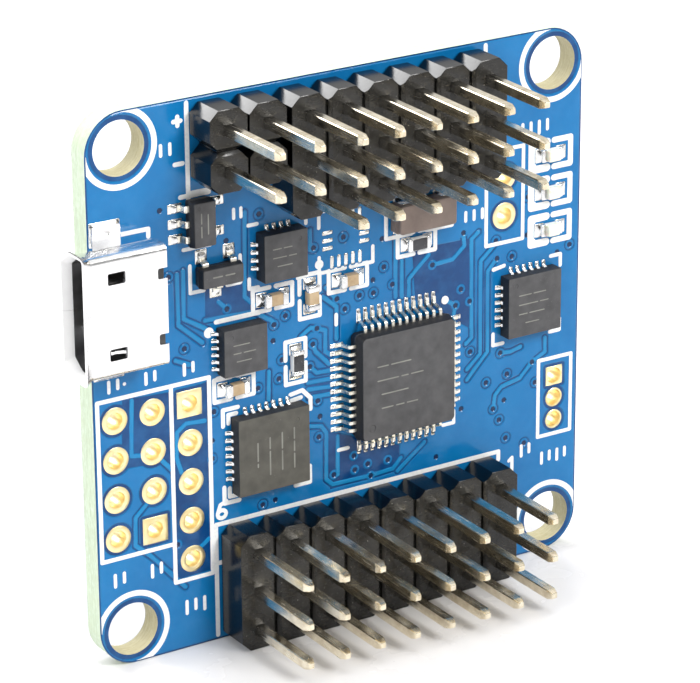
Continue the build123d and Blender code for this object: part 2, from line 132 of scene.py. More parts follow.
def level(pts, w):
    return np.column_stack([pts, np.full(len(pts), w)])


def loft(geo, rings, caps=(True, True), mat=0, closed=False):
    n = len(rings[0])
    faces = []
    count = len(rings) if closed else len(rings) - 1
    for a in range(count):
        b = (a + 1) % len(rings)
        for i in range(n):
            j = (i + 1) % n
            faces.append((a * n + i, a * n + j, b * n + j, b * n + i))
    if caps[0] and not closed:
        faces.append(tuple(range(n - 1, -1, -1)))
    if caps[1] and not closed:
        faces.append(tuple((len(rings) - 1) * n + i for i in range(n)))
    geo.add(np.concatenate(rings), faces, mat)


def block(geo, su, sv, w0, w1, r=0.06, b=0.05, b0=None, steps=2, c=(0.0, 0.0), mat=0, draft=0.0, corner=3):
    """Block with rounded upright corners and rolled top and bottom edges."""
    b0 = b if b0 is None else b0
    rings = []

    def ring(inset, w):
        k = draft * (w - w0) / max(w1 - w0, 1e-6)
        rings.append(level(rrect(su - 2 * (inset + k), sv - 2 * (inset + k), max(r - 0.4 * inset, 0.004), corner, c), w))

    for i in range(steps + 1):
        a = math.pi / 2 * i / steps
        ring(b0 * (1 - math.sin(a)), w0 + b0 * (1 - math.cos(a)))
    for i in range(steps + 1):
        a = math.pi / 2 * i / steps
        ring(b * (1 - math.cos(a)), w1 - b * (1 - math.sin(a)))
    loft(geo, rings, mat=mat)


def pillow(geo, su, sv, w0, w1, r=0.05, c=(0.0, 0.0), mat=0, crown=0.0):
    """Thin metal land with a soft edge and a slight crown."""
    d = min(su, sv)
    rings = [level(rrect(su, sv, r, 2, c), w0), level(rrect(su, sv, r, 2, c), w1 - 0.012)]
    rings.append(level(rrect(su - 0.03, sv - 0.03, r, 2, c), w1))
    rings.append(level(rrect(su - 0.36 * d, sv - 0.36 * d, r, 2, c), w1 + crown * 0.8))
    rings.append(level(rrect(su - 0.72 * d, sv - 0.72 * d, r, 2, c), w1 + crown))
    loft(geo, rings, mat=mat)


def sweep_strip(geo, path, width, thick, bev=0.02, mat=0, taper=None):
    """Flat strip along a path in the u-w plane, width across v, bevelled."""
    path = np.asarray(path, float)
    rings = []
    n = len(path)
    for i in range(n):
        a, b = path[max(i - 1, 0)], path[min(i + 1, n - 1)]
        d = (b - a) / np.linalg.norm(b - a)
        nrm = np.array([-d[1], d[0]])
        hw = width / 2 * (1.0 if taper is None else taper[i])
        ht = thick / 2
        sec = [(-hw + bev, -ht), (hw - bev, -ht), (hw, -ht + bev), (hw, ht - bev), (hw - bev, ht), (-hw + bev, ht), (-hw, ht - bev), (-hw, -ht + bev)]
        ring = []
        for s, t in sec:
            q = path[i] + nrm * t
            ring.append((q[0], s, q[1]))
        rings.append(np.array(ring)[::-1])
    loft(geo, rings, mat=mat)


def bend_path(points, radius=0.12, n=4):
    """Rounds the corners of a short path."""
    pts = [np.array(p, float) for p in points]
    out = [pts[0]]
    for i in range(1, len(pts) - 1):
        a, b, c = pts[i - 1], pts[i], pts[i + 1]
        d0, d1 = (a - b) / np.linalg.norm(a - b), (c - b) / np.linalg.norm(c - b)
        ang = math.acos(max(-1, min(1, float(d0 @ d1))))
        cut = min(radius / math.tan(ang / 2), 0.45 * np.linalg.norm(a - b), 0.45 * np.linalg.norm(c - b))
        p0, p1 = b + d0 * cut, b + d1 * cut
        for k in range(n + 1):
            t = k / n
            out.append((1 - t) ** 2 * p0 + 2 * t * (1 - t) * b + t ** 2 * p1)
    out.append(pts[-1])
    return out


# ---------------------------------------------------- planar slabs -----
def capsule(a, b, h, n=6):
    """Outline of a thick straight line with round ends."""
    a, b = np.array(a, float), np.array(b, float)
    d = b - a
    base = math.atan2(d[1], d[0])
    pts = []
    for c, start in ((b, base - math.pi / 2), (a, base + math.pi / 2)):
        for i in range(n + 1):
            t = start + math.pi * i / n
            pts.append((c[0] + h * math.cos(t), c[1] + h * math.sin(t)))
    return np.array(pts)


def seg_dist(p, segs):
    """Smallest distance of each point to any of the segments."""
    best = np.full(len(p), 1e9)
    for (ax, ay), (bx, by) in segs:
        dx, dy = bx - ax, by - ay
        l2 = dx * dx + dy * dy
        t = np.zeros(len(p)) if l2 < 1e-12 else np.clip(((p[:, 0] - ax) * dx + (p[:, 1] - ay) * dy) / l2, 0, 1)
        best = np.minimum(best, np.hypot(p[:, 0] - ax - t * dx, p[:, 1] - ay - t * dy))
    return best


def poly_signed(p, poly):
    """Distance to the polygon's edge, negative inside."""
    n = len(poly)
    d = seg_dist(p, [(poly[i], poly[(i + 1) % n]) for i in range(n)])
    inside = np.zeros(len(p), bool)
    x, y = p[:, 0], p[:, 1]
    for i in range(n):
        (x0, y0), (x1, y1) = poly[i], poly[(i + 1) % n]
        if abs(y1 - y0) < 1e-12:
            continue
        hit = ((y0 > y) != (y1 > y)) & (x < (x1 - x0) * (y - y0) / (y1 - y0) + x0)
        inside ^= hit
    return np.where(inside, -d, d)


def rbox_signed(p, c, su, sv, r):
    qx = np.abs(p[:, 0] - c[0]) - (su / 2 - r)
    qy = np.abs(p[:, 1] - c[1]) - (sv / 2 - r)
    return np.hypot(np.maximum(qx, 0), np.maximum(qy, 0)) + np.minimum(np.maximum(qx, qy), 0) - r


def triangulate(contours):
    verts, edges = [], []
    for c in contours:
        n0, m = len(verts), len(c)
        verts += [Vector((float(p[0]), float(p[1]))) for p in c]
        edges += [(n0 + i, n0 + (i + 1) % m) for i in range(m)]
    out = delaunay_2d_cdt(verts, edges, [], 0, 1e-5, False)
    V = np.array([(v.x, v.y) for v in out[0]])
    F = np.array([f for f in out[2] if len(f) == 3], int)
    a, b, c = V[F[:, 0]], V[F[:, 1]], V[F[:, 2]]
    area = (b[:, 0] - a[:, 0]) * (c[:, 1] - a[:, 1]) - (b[:, 1] - a[:, 1]) * (c[:, 0] - a[:, 0])
    F[area < 0] = F[area < 0][:, ::-1]
    return V, F[np.abs(area) > 1e-9]


def slab(geo, contours, keep, top, bottom, mat=0, tone=None, flip=False):
    """Closed slab over the kept triangles. top(p) and bottom(p) give its faces' heights."""
    V, F = triangulate(contours)
    mid = V[F].mean(axis=1)
    ok = keep(mid)
    F, mid = F[ok], mid[ok]
    used = np.unique(F)
    remap = np.full(len(V), -1)
    remap[used] = np.arange(len(used))
    V, F = V[used], remap[F]
    n = len(V)
    hi, lo = top(V), bottom(V)
    verts = np.concatenate([level(V, 0), level(V, 0)])
    verts[:n, 2], verts[n:, 2] = hi, lo
    faces = [tuple(f) for f in F] + [tuple(f[::-1] + n) for f in F]
    edges = {}
    for f in F:
        for i in range(3):
            edges[(f[i], f[(i + 1) % 3])] = True
    walls = [(a, b) for a, b in edges if (b, a) not in edges]
    faces += [(a, a + n, b + n, b) for a, b in walls]
    t = None
    if tone is not None:
        tt = tone(mid)
        wall_mid = np.array([(V[a] + V[b]) / 2 for a, b in walls]) if walls else np.zeros((0, 2))
        t = np.concatenate([tt, tt, tone(wall_mid)]) if len(walls) else np.concatenate([tt, tt])
    geo.add(verts, faces, mat, t)


# ======================================================================
# Materials
# ======================================================================
class Nodes:
    def __init__(self, name):
        self.mat = bpy.data.materials.new(name)
        self.mat.use_nodes = True
        self.t = self.mat.node_tree
        self.bsdf = self.t.nodes["Principled BSDF"]
        self.coord = self.t.nodes.new("ShaderNodeTexCoord")

    def new(self, kind, **props):
        n = self.t.nodes.new(kind)
        for k, v in props.items():
            setattr(n, k, v)
        return n

    def link(self, a, b):
        self.t.links.new(a, b)

    def mapped(self, scale):
        m = self.new("ShaderNodeMapping")
        m.inputs["Scale"].default_value = scale if hasattr(scale, "__len__") else (scale,) * 3
        self.link(self.coord.outputs["Object"], m.inputs["Vector"])
        return m.outputs["Vector"]

    def noise(self, scale, detail=3.0, rough=0.55, distortion=0.0):
        n = self.new("ShaderNodeTexNoise")
        n.inputs["Scale"].default_value = 1.0
        n.inputs["Detail"].default_value = detail
        n.inputs["Roughness"].default_value = rough
        n.inputs["Distortion"].default_value = distortion
        self.link(self.mapped(scale), n.inputs["Vector"])
        return n.outputs["Fac"]

    def span(self, value, a, b, lo=0.0, hi=1.0, smooth=False):
        n = self.new("ShaderNodeMapRange")
        if smooth:
            n.interpolation_type = "SMOOTHSTEP"
        n.inputs["From Min"].default_value = a
        n.inputs["From Max"].default_value = b
        n.inputs["To Min"].default_value = lo
        n.inputs["To Max"].default_value = hi
        self.link(value, n.inputs["Value"])
        return n.outputs["Result"]

    def math(self, op, a, b=None):
        n = self.new("ShaderNodeMath", operation=op)
        for i, x in enumerate((a, b)):
            if x is None:
                continue
            if isinstance(x, (int, float)):
                n.inputs[i].default_value = x
            else:
                self.link(x, n.inputs[i])
        return n.outputs[0]

    def mix(self, fac, a, b, mode="MIX"):
        n = self.new("ShaderNodeMix", data_type="RGBA", blend_type=mode)
        for sock, x in ((n.inputs[0], fac), (n.inputs[6], a), (n.inputs[7], b)):
            if isinstance(x, (int, float)):
                sock.default_value = x
            elif isinstance(x, (tuple, list)):
                sock.default_value = (*x[:3], 1.0)
            else:
                self.link(x, sock)
        return n.outputs[2]

    def island(self):
        return self.new("ShaderNodeNewGeometry").outputs["Random Per Island"]

    def tone(self):
        a = self.new("ShaderNodeAttribute", attribute_name="tone")
        s = self.new("ShaderNodeSeparateColor")
        self.link(a.outputs["Color"], s.inputs["Color"])
        return s.outputs

    def facing(self):
        """1 on faces that look out from the component side, 0 on faces that stand on edge."""
        g = self.new("ShaderNodeNewGeometry")
        s = self.new("ShaderNodeSeparateXYZ")
        self.link(g.outputs["Normal"], s.inputs[0])
        return self.span(s.outputs["Y"], -0.55, -0.92, 0.0, 1.0)

    def axis(self, which):
        s = self.new("ShaderNodeSeparateXYZ")
        self.link(self.coord.outputs["Object"], s.inputs[0])
        return s.outputs[which]

    def bump(self, height, strength, distance, prev=None):
        b = self.new("ShaderNodeBump")
        b.inputs["Strength"].default_value = strength
        b.inputs["Distance"].default_value = distance
        self.link(height, b.inputs["Height"])
        if prev is not None:
            self.link(prev, b.inputs["Normal"])
        return b.outputs["Normal"]

    def finish(self, color, rough, normal=None, metallic=0.0, **extra):
        self.link(color, self.bsdf.inputs["Base Color"])
        self.link(rough, self.bsdf.inputs["Roughness"])
        if normal is not None:
            self.link(normal, self.bsdf.inputs["Normal"])
        self.bsdf.inputs["Metallic"].default_value = metallic
        for k, v in extra.items():
            self.bsdf.inputs[k].default_value = v
        return self.mat


def metal(name, base, dark, rough=(0.18, 0.36), scale=6000.0, bump=0.25, dist=0.00001, stretch=None, island=0.25, stain=None):
    n = Nodes(name)
    fine = n.noise(scale if stretch is None else stretch, 4.0)
    broad = n.noise(scale * 0.22, 2.0)
    c = n.mix(n.span(broad, 0.35, 0.68), base, dark)
    rnd = n.span(n.island(), 0.0, 1.0, 0.0, island)
    c = n.mix(rnd, c, dark)
    if stain is not None:
        c = n.mix(n.span(n.noise(scale * 0.5, 5.0, 0.7), 0.62, 0.74), c, stain)
    r = n.span(fine, 0.3, 0.7, rough[0], rough[1])
    return n.finish(c, r, n.bump(fine, bump, dist), 1.0)


def moulded(name, base, light, rough=(0.42, 0.6), scale=9000.0, bump=0.35, dist=0.000012, speck=None, spec=0.5, sides=None):
    n = Nodes(name)
    grain = n.noise(scale, 5.0, 0.65)
    broad = n.noise(scale * 0.12, 2.0)
    c = n.mix(n.span(broad, 0.3, 0.7), base, light)
    c = n.mix(n.span(grain, 0.45, 0.8, 0.0, 0.5), c, light)
    if speck is not None:
        c = n.mix(n.span(n.noise(scale * 1.6, 2.0, 0.5), 0.72, 0.78), c, speck)
    # painted shade: faces that stand on edge are mixed towards the darker sides colour
    if sides is not None:
        c = n.mix(n.facing(), sides, c)
    r = n.span(grain, 0.3, 0.7, rough[0], rough[1])
    return n.finish(c, r, n.bump(grain, bump, dist), 0.0, **{"Specular IOR Level": spec})


def solder_mask(name, copper, bare, track):
    n = Nodes(name)
    tone = n.tone()
    broad = n.noise(260.0, 3.0)
    fine = n.noise(4200.0, 4.0)
    c = n.mix(tone[0], bare, copper)
    # the third tone channel marks the tracks, plus a painted highlight along every copper edge
    c = n.mix(tone[2], c, track)
    c = n.mix(n.span(broad, 0.32, 0.70, 0.0, 0.42), c, (copper[0] * 0.45, copper[1] * 0.58, copper[2] * 0.72))
    c = n.mix(n.span(n.noise(900.0, 3.0), 0.42, 0.75, 0.0, 0.22), c, (copper[0] + 0.03, copper[1] * 1.35, min(copper[2] * 1.25, 1)))
    # painted shade: the via holes are coloured almost black
    c = n.mix(tone[1], c, (0.006, 0.012, 0.05))
    # the glass cloth shows faintly through the bare laminate
    wu = n.new("ShaderNodeTexWave", wave_type="BANDS", bands_direction="X")
    wu.inputs["Scale"].default_value = 1.0
    n.link(n.mapped((560.0, 560.0, 560.0)), wu.inputs["Vector"])
    wv = n.new("ShaderNodeTexWave", wave_type="BANDS", bands_direction="Z")
    wv.inputs["Scale"].default_value = 1.0
    n.link(n.mapped((620.0, 620.0, 620.0)), wv.inputs["Vector"])
    weave = n.math("MULTIPLY", wu.outputs["Fac"], wv.outputs["Fac"])
    h = n.math("ADD", n.math("MULTIPLY", fine, 0.6), n.math("MULTIPLY", weave, 0.5))
    r = n.span(n.noise(1500.0, 3.0), 0.3, 0.7, 0.10, 0.20)
    return n.finish(c, r, n.bump(h, 0.08, 0.00001), 0.0, **{"Specular IOR Level": 0.34})


def laminate(name):
    n = Nodes(name)
    plies = n.noise((500.0, 11000.0, 500.0), 3.0, 0.6)
    fibres = n.noise((2600.0, 9000.0, 2600.0), 5.0, 0.7)
    blot = n.noise((900.0, 300.0, 900.0), 2.0)
    c = n.mix(n.span(plies, 0.35, 0.66), (0.56, 0.66, 0.50), (0.44, 0.53, 0.38))
    c = n.mix(n.span(fibres, 0.48, 0.72, 0.0, 0.8), c, (0.73, 0.83, 0.74))
    c = n.mix(n.span(blot, 0.5, 0.75, 0.0, 0.30), c, (0.54, 0.60, 0.42))
    # the walls of the mounting holes get a darker, browner laminate colour
    dx = n.math("SUBTRACT", n.math("ABSOLUTE", n.axis("X")), 0.01525)
    dz = n.math("SUBTRACT", n.math("ABSOLUTE", n.axis("Z")), 0.01525)
    away = n.math("SQRT", n.math("ADD", n.math("MULTIPLY", dx, dx), n.math("MULTIPLY", dz, dz)))
    drilled = n.mix(n.span(plies, 0.35, 0.66), (0.47, 0.43, 0.27), (0.37, 0.32, 0.17))
    drilled = n.mix(n.span(fibres, 0.48, 0.72, 0.0, 0.6), drilled, (0.62, 0.60, 0.43))
    c = n.mix(n.span(away, 0.00180, 0.00186, 0.0, 1.0), drilled, c)
    h = n.math("ADD", plies, fibres)
    # painted glow: a faint pale emission lights the cut edges and hole walls from within
    n.bsdf.inputs["Emission Color"].default_value = (0.80, 0.93, 0.82, 1.0)
    n.bsdf.inputs["Emission Strength"].default_value = 0.05
    return n.finish(c, n.span(fibres, 0.3, 0.7, 0.55, 0.8), n.bump(h, 0.6, 0.00004), 0.0)


def ink(name):
    n = Nodes(name)
    g = n.noise(5200.0, 5.0, 0.65)
    broad = n.noise(700.0, 2.0)
    c = n.mix(n.span(g, 0.50, 0.78), (0.90, 0.91, 0.90), (0.70, 0.74, 0.80))
    c = n.mix(n.span(broad, 0.5, 0.8, 0.0, 0.3), c, (0.76, 0.80, 0.86))
    return n.finish(c, n.span(g, 0.3, 0.7, 0.40, 0.62), n.bump(g, 0.4, 0.00001), 0.0)


M = {}
M["mask"] = solder_mask("solder_mask_blue", (0.004, 0.170, 0.43), (0.002, 0.037, 0.145), (0.010, 0.255, 0.53))
M["mask_rear"] = solder_mask("solder_mask_blue_rear", (0.004, 0.128, 0.36), (0.003, 0.035, 0.145), (0.008, 0.190, 0.45))
M["laminate"] = laminate("woven_laminate")
M["ink"] = ink("legend_ink")
M["gold"] = metal("gold_flash", (1.0, 0.89, 0.57), (0.97, 0.79, 0.41), (0.34, 0.52), 5200.0, 0.35, stain=(1.0, 0.94, 0.76))
M["tin"] = metal("tinned_land", (0.92, 0.91, 0.87), (0.66, 0.65, 0.60), (0.16, 0.38), 6000.0, 0.4)
M["solder"] = metal("reflowed_solder", (0.93, 0.93, 0.92), (0.62, 0.62, 0.62), (0.10, 0.30), 5000.0, 0.45, 0.000015)
M["lead"] = metal("tin_plated_lead", (0.94, 0.91, 0.83), (0.70, 0.66, 0.55), (0.20, 0.42), 7000.0, 0.4)
M["steel"] = metal("tin_plated_steel", (0.95, 0.95, 0.95), (0.78, 0.78, 0.79), (0.14, 0.30), 2600.0, 0.22, stretch=(900.0, 5200.0, 5200.0), island=0.0)
M["silicon"] = metal("polished_silicon", (0.30, 0.31, 0.36), (0.18, 0.19, 0.24), (0.10, 0.22), 3000.0, 0.1)
# the sides colours here are painted shade on the chips' edge faces
M["epoxy"] = moulded("mould_compound", (0.046, 0.046, 0.049), (0.078, 0.078, 0.082), (0.46, 0.64), 9500.0, 0.6, speck=(0.19, 0.19, 0.20), sides=(0.010, 0.010, 0.012))
M["epoxy_warm"] = moulded("mould_compound_warm", (0.060, 0.058, 0.050), (0.092, 0.089, 0.076), (0.48, 0.66), 9500.0, 0.6, speck=(0.20, 0.20, 0.18), sides=(0.012, 0.012, 0.012))
M["mark"] = moulded("laser_mark", (0.17, 0.17, 0.155), (0.25, 0.25, 0.225), (0.6, 0.8), 7000.0, 0.4)
# painted shade: a darkened copy of the steel for the socket's deeper inner faces
M["steel_inside"] = metal("tin_plated_steel_inside", (0.30, 0.30, 0.31), (0.16, 0.16, 0.17), (0.34, 0.52), 2600.0, 0.3, island=0.0)
# painted highlight: a pale non-metal copy of the steel makes the inner faces by the mouth glow white
M["steel_lip"] = moulded("painted_bloom_at_mouth", (0.78, 0.78, 0.79), (0.88, 0.88, 0.88), (0.40, 0.55), 2600.0, 0.2)
M["liner"] = moulded("socket_liner", (0.022, 0.022, 0.023), (0.050, 0.050, 0.051), (0.4, 0.55), 6000.0, 0.3)
M["reso"] = moulded("brown_ceramic", (0.150, 0.110, 0.092), (0.215, 0.165, 0.140), (0.34, 0.5), 5200.0, 0.4, speck=(0.32, 0.27, 0.24))
M["cap"] = moulded("tan_ceramic", (0.38, 0.26, 0.14), (0.56, 0.43, 0.27), (0.26, 0.42), 5200.0, 0.3, speck=(0.86, 0.72, 0.50))
M["rescoat"] = moulded("dark_glass_coat", (0.018, 0.018, 0.022), (0.045, 0.045, 0.050), (0.16, 0.30), 5200.0, 0.2)
M["resbody"] = moulded("white_alumina", (0.78, 0.78, 0.76), (0.90, 0.90, 0.88), (0.4, 0.6), 6000.0, 0.3)
M["ledbase"] = moulded("white_laminate", (0.84, 0.84, 0.80), (0.92, 0.92, 0.88), (0.35, 0.5), 6000.0, 0.3)


def header_plastic():
    n = Nodes("header_moulding")
    grain = n.noise(5200.0, 5.0, 0.7)
    fibre = n.noise((1800.0, 700.0, 6500.0), 4.0, 0.65)
    broad = n.noise(700.0, 2.0)
    c = n.mix(n.span(broad, 0.3, 0.7), (0.0098, 0.0096, 0.0088), (0.018, 0.0172, 0.0155))
    c = n.mix(n.span(fibre, 0.46, 0.78, 0.0, 0.5), c, (0.034, 0.033, 0.029))
    # painted glints: sparse pale specks stand in for tiny specular highlights
    c = n.mix(n.span(n.noise(8200.0, 1.5, 0.5), 0.735, 0.775), c, (0.45, 0.43, 0.38))
    # painted shade: faces that stand on edge are made almost black
    out = n.facing()
    c = n.mix(out, (0.0012, 0.0012, 0.0014), c)
    # the sides came off the polished wall of the mould, the top is duller
    h = n.math("MULTIPLY", n.math("ADD", grain, fibre), n.span(out, 0.0, 1.0, 0.55, 1.0))
    r = n.math("MULTIPLY", n.span(grain, 0.3, 0.7, 0.17, 0.30), n.span(out, 0.0, 1.0, 0.85, 1.0))
    return n.finish(c, r, n.bump(h, 0.30, 0.000012), 0.0, **{"Specular IOR Level": 0.42})


def pin_metal():
    n = Nodes("gold_flashed_pin")
    draw = n.noise((5200.0, 420.0, 5200.0), 4.0, 0.6)
    blot = n.noise(1500.0, 3.0, 0.6)
    y = n.axis("Y")
    # painted shade: the pin is greyed towards the housing
    painted_base_shade = n.span(y, -0.0070, -0.0041, 0.0, 1.0, True)
    c = n.mix(n.span(blot, 0.35, 0.68), (0.95, 0.86, 0.66), (0.64, 0.53, 0.35))
    c = n.mix(n.span(draw, 0.42, 0.66, 0.0, 0.30), c, (0.98, 0.92, 0.80))
    c = n.mix(painted_base_shade, c, (0.50, 0.48, 0.44))
    c = n.mix(n.span(n.island(), 0.0, 1.0, 0.0, 0.30), c, (0.74, 0.70, 0.60))
    r = n.span(draw, 0.3, 0.7, 0.14, 0.30)
    return n.finish(c, r, n.bump(draw, 0.30, 0.000010), 1.0)


def lens():
    n = Nodes("casting_resin")
    g = n.noise(2600.0, 3.0)
    c = n.mix(n.span(g, 0.35, 0.7), (0.96, 0.95, 0.86), (0.88, 0.84, 0.62))
    n.bsdf.inputs["Subsurface Weight"].default_value = 0.35
    n.bsdf.inputs["Subsurface Scale"].default_value = 0.0004
    return n.finish(c, n.span(g, 0.3, 0.7, 0.10, 0.22), n.bump(g, 0.15, 0.00001), 0.0, **{"Coat Weight": 0.6})


M["header"], M["pin"], M["lens"] = header_plastic(), pin_metal(), lens()

# ======================================================================
# Layout, in millimetres
# ======================================================================
RX = [(-7.845 + PITCH * i, -11.15 - PITCH * r) for r in range(3) for i in range(8)]
OUT = [(-3.85 + PITCH * i, 15.90 - PITCH * r) for r in range(3) for i in range(6)]
BEEP = [(-9.38, 15.98 - PITCH * r) for r in range(2)]
BAT = [(-6.72, 15.98 - PITCH * r) for r in range(2)]
GRID = [(u, -1.50 - PITCH * r) for u in (-16.07, -13.53) for r in range(4)]
COLUMN = [(-10.99, -1.50 - PITCH * r) for r in range(5)]
BOOT = [(11.74, 8.50), (11.74, 5.96)]
AUX = [(15.73, -5.56 - 1.50 * r) for r in range(3)]
SQUARES = [(-13.53, -9.12), (-10.99, -1.50), (15.73, -5.56)]
MOUNT = [(a * 15.25, b * 15.25) for a in (-1, 1) for b in (-1, 1)]
MCU, GYRO, BRIDGE, MAG, MEM = (3.72, -2.76), (13.52, 0.05), (-5.66, -5.52), (-4.71, 6.90), (-7.54, 1.44)
REG, TRAN, RESO, FOOT = (-10.26, 9.96), (-9.03, 6.46), (5.42, 7.50), (0.12, 6.84)
CAPS = [(-5.10, 4.02, 0), (-2.50, 3.61, 1), (0.24, 4.19, 0), (-7.90, -1.13, 0)]
RESISTORS = [(5.22, 5.51, 0), (-3.55, -0.43, 1)]
LEDS = [(15.20, 9.38), (15.20, 6.92), (15.20, 4.48)]


def is_square(p):
    return any(math.dist(p, q) < 0.01 for q in SQUARES)


def turn(p, k):
    a = math.radians(90 * k)
    return (p[0] * math.cos(a) - p[1] * math.sin(a), p[0] * math.sin(a) + p[1] * math.cos(a))


def quad_pads(c, size, n, pitch, width, inner, outer, sides=(0, 1, 2, 3)):
    out = []
    for k in sides:
        for i in range(n):
            t = (i - (n - 1) / 2) * pitch
            p, q = turn((size / 2 - inner, t - width / 2), k), turn((size / 2 + outer, t + width / 2), k)
            out.append((c[0] + (p[0] + q[0]) / 2, c[1] + (p[1] + q[1]) / 2, abs(p[0] - q[0]), abs(p[1] - q[1])))
    return out


MCU_PADS = quad_pads(MCU, 7.0, 12, 0.50, 0.28, -0.35, 1.30)
LANDS = list(MCU_PADS)
LANDS += quad_pads(GYRO, 4.0, 6, 0.50, 0.28, 0.40, 0.42)
LANDS += quad_pads(BRIDGE, 5.0, 7, 0.50, 0.28, 0.40, 0.42)
LANDS += quad_pads(MAG, 3.0, 4, 0.50, 0.28, 0.40, 0.36)
LANDS += quad_pads(MEM, 3.0, 6, 0.45, 0.25, 0.40, 0.36, (0, 2))
LANDS += [(REG[0] + s * 1.42, REG[1] + o, 0.95, 0.60) for s, o in ((-1, 0.95), (-1, 0.0), (-1, -0.95), (1, 0.95), (1, -0.95))]
LANDS += [(TRAN[0] + o, TRAN[1] + s * 1.15, 0.80, 0.90) for s, o in ((1, 0.95), (1, -0.95), (-1, 0.0))]
LANDS += [(RESO[0] + o, RESO[1], 0.90, 2.30) for o in (-1.45, 0.0, 1.45)]
for u, v, turned in CAPS + RESISTORS + [(a, b, 0) for a, b in LEDS]:
    for s in (-1, 1):
        LANDS.append((u, v + s * 0.80, 0.90, 0.72) if turned else (u + s * 0.80, v, 0.72, 0.90))
LANDS += [(-13.30, 6.14 + (i - 2) * 0.65, 0.84, 0.36) for i in range(5)]
LANDS += [(-16.36, 6.14 + s * 4.15, 2.05, 1.50) for s in (-1, 1)]
FOOT_LANDS = (
    [(FOOT[0] - 1.31, FOOT[1] + o, 0.74, 0.26) for o in (0.52, 0.02, -0.48)]
    + [(FOOT[0] + 1.31, FOOT[1] + o, 0.74, 0.26) for o in (0.02, -0.48)]
    + [(FOOT[0] + o, FOOT[1] - 1.42, 0.26, 0.82) for o in (-1.0, -0.5, 0.0, 0.5, 1.0)]
    + [(FOOT[0] + o, FOOT[1] + 1.42, 0.26, 0.70) for o in (0.5, 1.0)]
)

VIAS = [(-5.95, 9.48), (-8.24, 8.24), (-2.18, 6.6), (-0.05, 6.88), (2.72, 6.21), (2.85, 4.37), (3.47, 3.11), (2.05, 3.69), (2.08, 2.84), (1.07, 2.88),
        (-0.55, 2.99), (0.02, 2.22), (-4.21, 2.66), (-1.99, 1.38), (-2.29, 0.41), (-5.03, 2.25), (-5.11, 1.24), (-4.5, -0.12), (-2.52, -1.01),
        (-8.27, 3.95), (-4.15, 4.44), (-4.73, -1.31), (-12.67, 10.96), (-12.2, 6.74), (-11.24, 2.04), (8.7, 5.42), (6.41, 3.78), (8.53, 1.75),
        (9.18, 0.82), (8.13, 0.76), (11.14, 4.42), (11.23, 3.24), (12.36, 3.15), (16.77, 3.08), (15.82, 2.76), (9.24, -2.57), (11.55, -3.14),
        (14.0, -4.28), (12.07, -4.68), (13.53, 6.85), (13.49, 4.35), (10.47, -4.93), (14.25, -5.73), (11.86, -6.4), (11.02, -6.83), (11.49, -7.68),
        (8.58, -6.27), (12.01, -9.04), (13.45, -9.72), (6.7, -9.11), (-6.22, -1.6), (-1.98, -3.36), (-1.84, -4.42), (-1.93, -5.76), (0.6, -7.61),
        (1.62, -8.39), (0.66, -8.57), (-0.87, -8.54), (1.84, -9.25), (3.1, -8.47), (-6.01, -9.32), (-5.11, -9.2), (-12.02, -10.5), (-9.31, -2.43),
        (-9.47, -4.28), (-9.5, -5.45)]

TRACKS = [
    [(-6.92, 9.79), (-7.03, 4.46), (-6.34, 3.76)],
    [(-9.79, 3.53), (-6.44, 3.38), (-5.16, 2.55), (-5.03, 2.25)],
    [(-8.83, 4.51), (-8.27, 3.95)],
    [(-3.15, 1.09), (-2.44, 1.51), (-1.99, 1.38), (-1.38, 1.12), (-1.4, -0.26), (-1.01, -0.56)],
    [(-2.29, 0.41), (-2.1, -0.11), (-1.13, -1.12)],
    [(-2.52, -1.01), (-2.03, -1.51), (-1.05, -1.56)],
    [(-2.68, -2.02), (-1.06, -2.12)],
    [(-2.68, -2.48), (-1.06, -2.62)],
    [(-2.62, -3.01), (-1.07, -3.11)],
    [(-1.54, 3.33), (-0.57, 2.48), (-0.58, 0.4)],
    [(-1.35, 3.87), (-0.56, 2.96)],
    [(-2.41, 7.79), (-2.43, 6.52)],
    [(-5.43, -0.7), (-5.46, -2.52)],
    [(3.71, 6.23), (3.7, 2.24)],
    [(4.16, 4.5), (4.16, 2.15)],
    [(6.14, 4.51), (4.68, 3.22), (4.68, 2.11)],
    [(6.41, 3.78), (7.92, 3.85), (8.78, 4.56), (8.7, 5.42)],
    [(9.83, 5.27), (9.31, 4.88), (9.35, -1.64), (8.92, -1.97)],
    [(10.98, 4.12), (10.02, 3.32), (10.0, -2.87), (9.02, -3.71)],
    [(11.23, 3.24), (10.55, 2.53), (10.56, -2.84), (9.02, -4.4)],
    [(7.34, 1.29), (8.13, 0.76), (7.99, 0.1)],
    [(11.55, -3.14), (12.33, -3.22), (13.11, -3.05)],
    [(14.98, -2.83), (15.0, -3.8), (14.0, -4.28), (13.08, -5.17), (11.67, -5.45), (11.17, -5.93), (11.05, -6.8)],
    [(-2.57, -4.91), (-1.74, -5.1), (-1.39, -5.62), (-1.42, -8.72), (-0.95, -9.17), (1.84, -9.22), (3.47, -9.15), (4.07, -8.56)],
    [(-0.56, -6.04), (-0.58, -8.59)],
    [(3.83, -9.39), (5.82, -7.9)],
    [(-14.89, -0.45), (-15.0, -3.99), (-14.31, -4.11)],
    [(-12.93, -4.77), (-12.23, -5.59)],
    [(-9.95, -2.87), (-11.26, -2.76), (-11.89, -3.2), (-11.94, -4.81), (-11.64, -5.83)],
    [(-14.11, -7.35), (-14.85, -8.02), (-14.91, -9.84), (-13.9, -10.75), (-11.54, -13.41)],
    [(-10.45, -11.05), (-9.82, -10.62)],
    [(-11.20, 6.95), (-11.22, 3.92), (-9.62, 2.92)],
    [(-11.62, 6.80), (-11.60, 3.60), (-9.98, 2.16)],
    [(-11.86, 1.42), (-10.92, 0.95)],
]
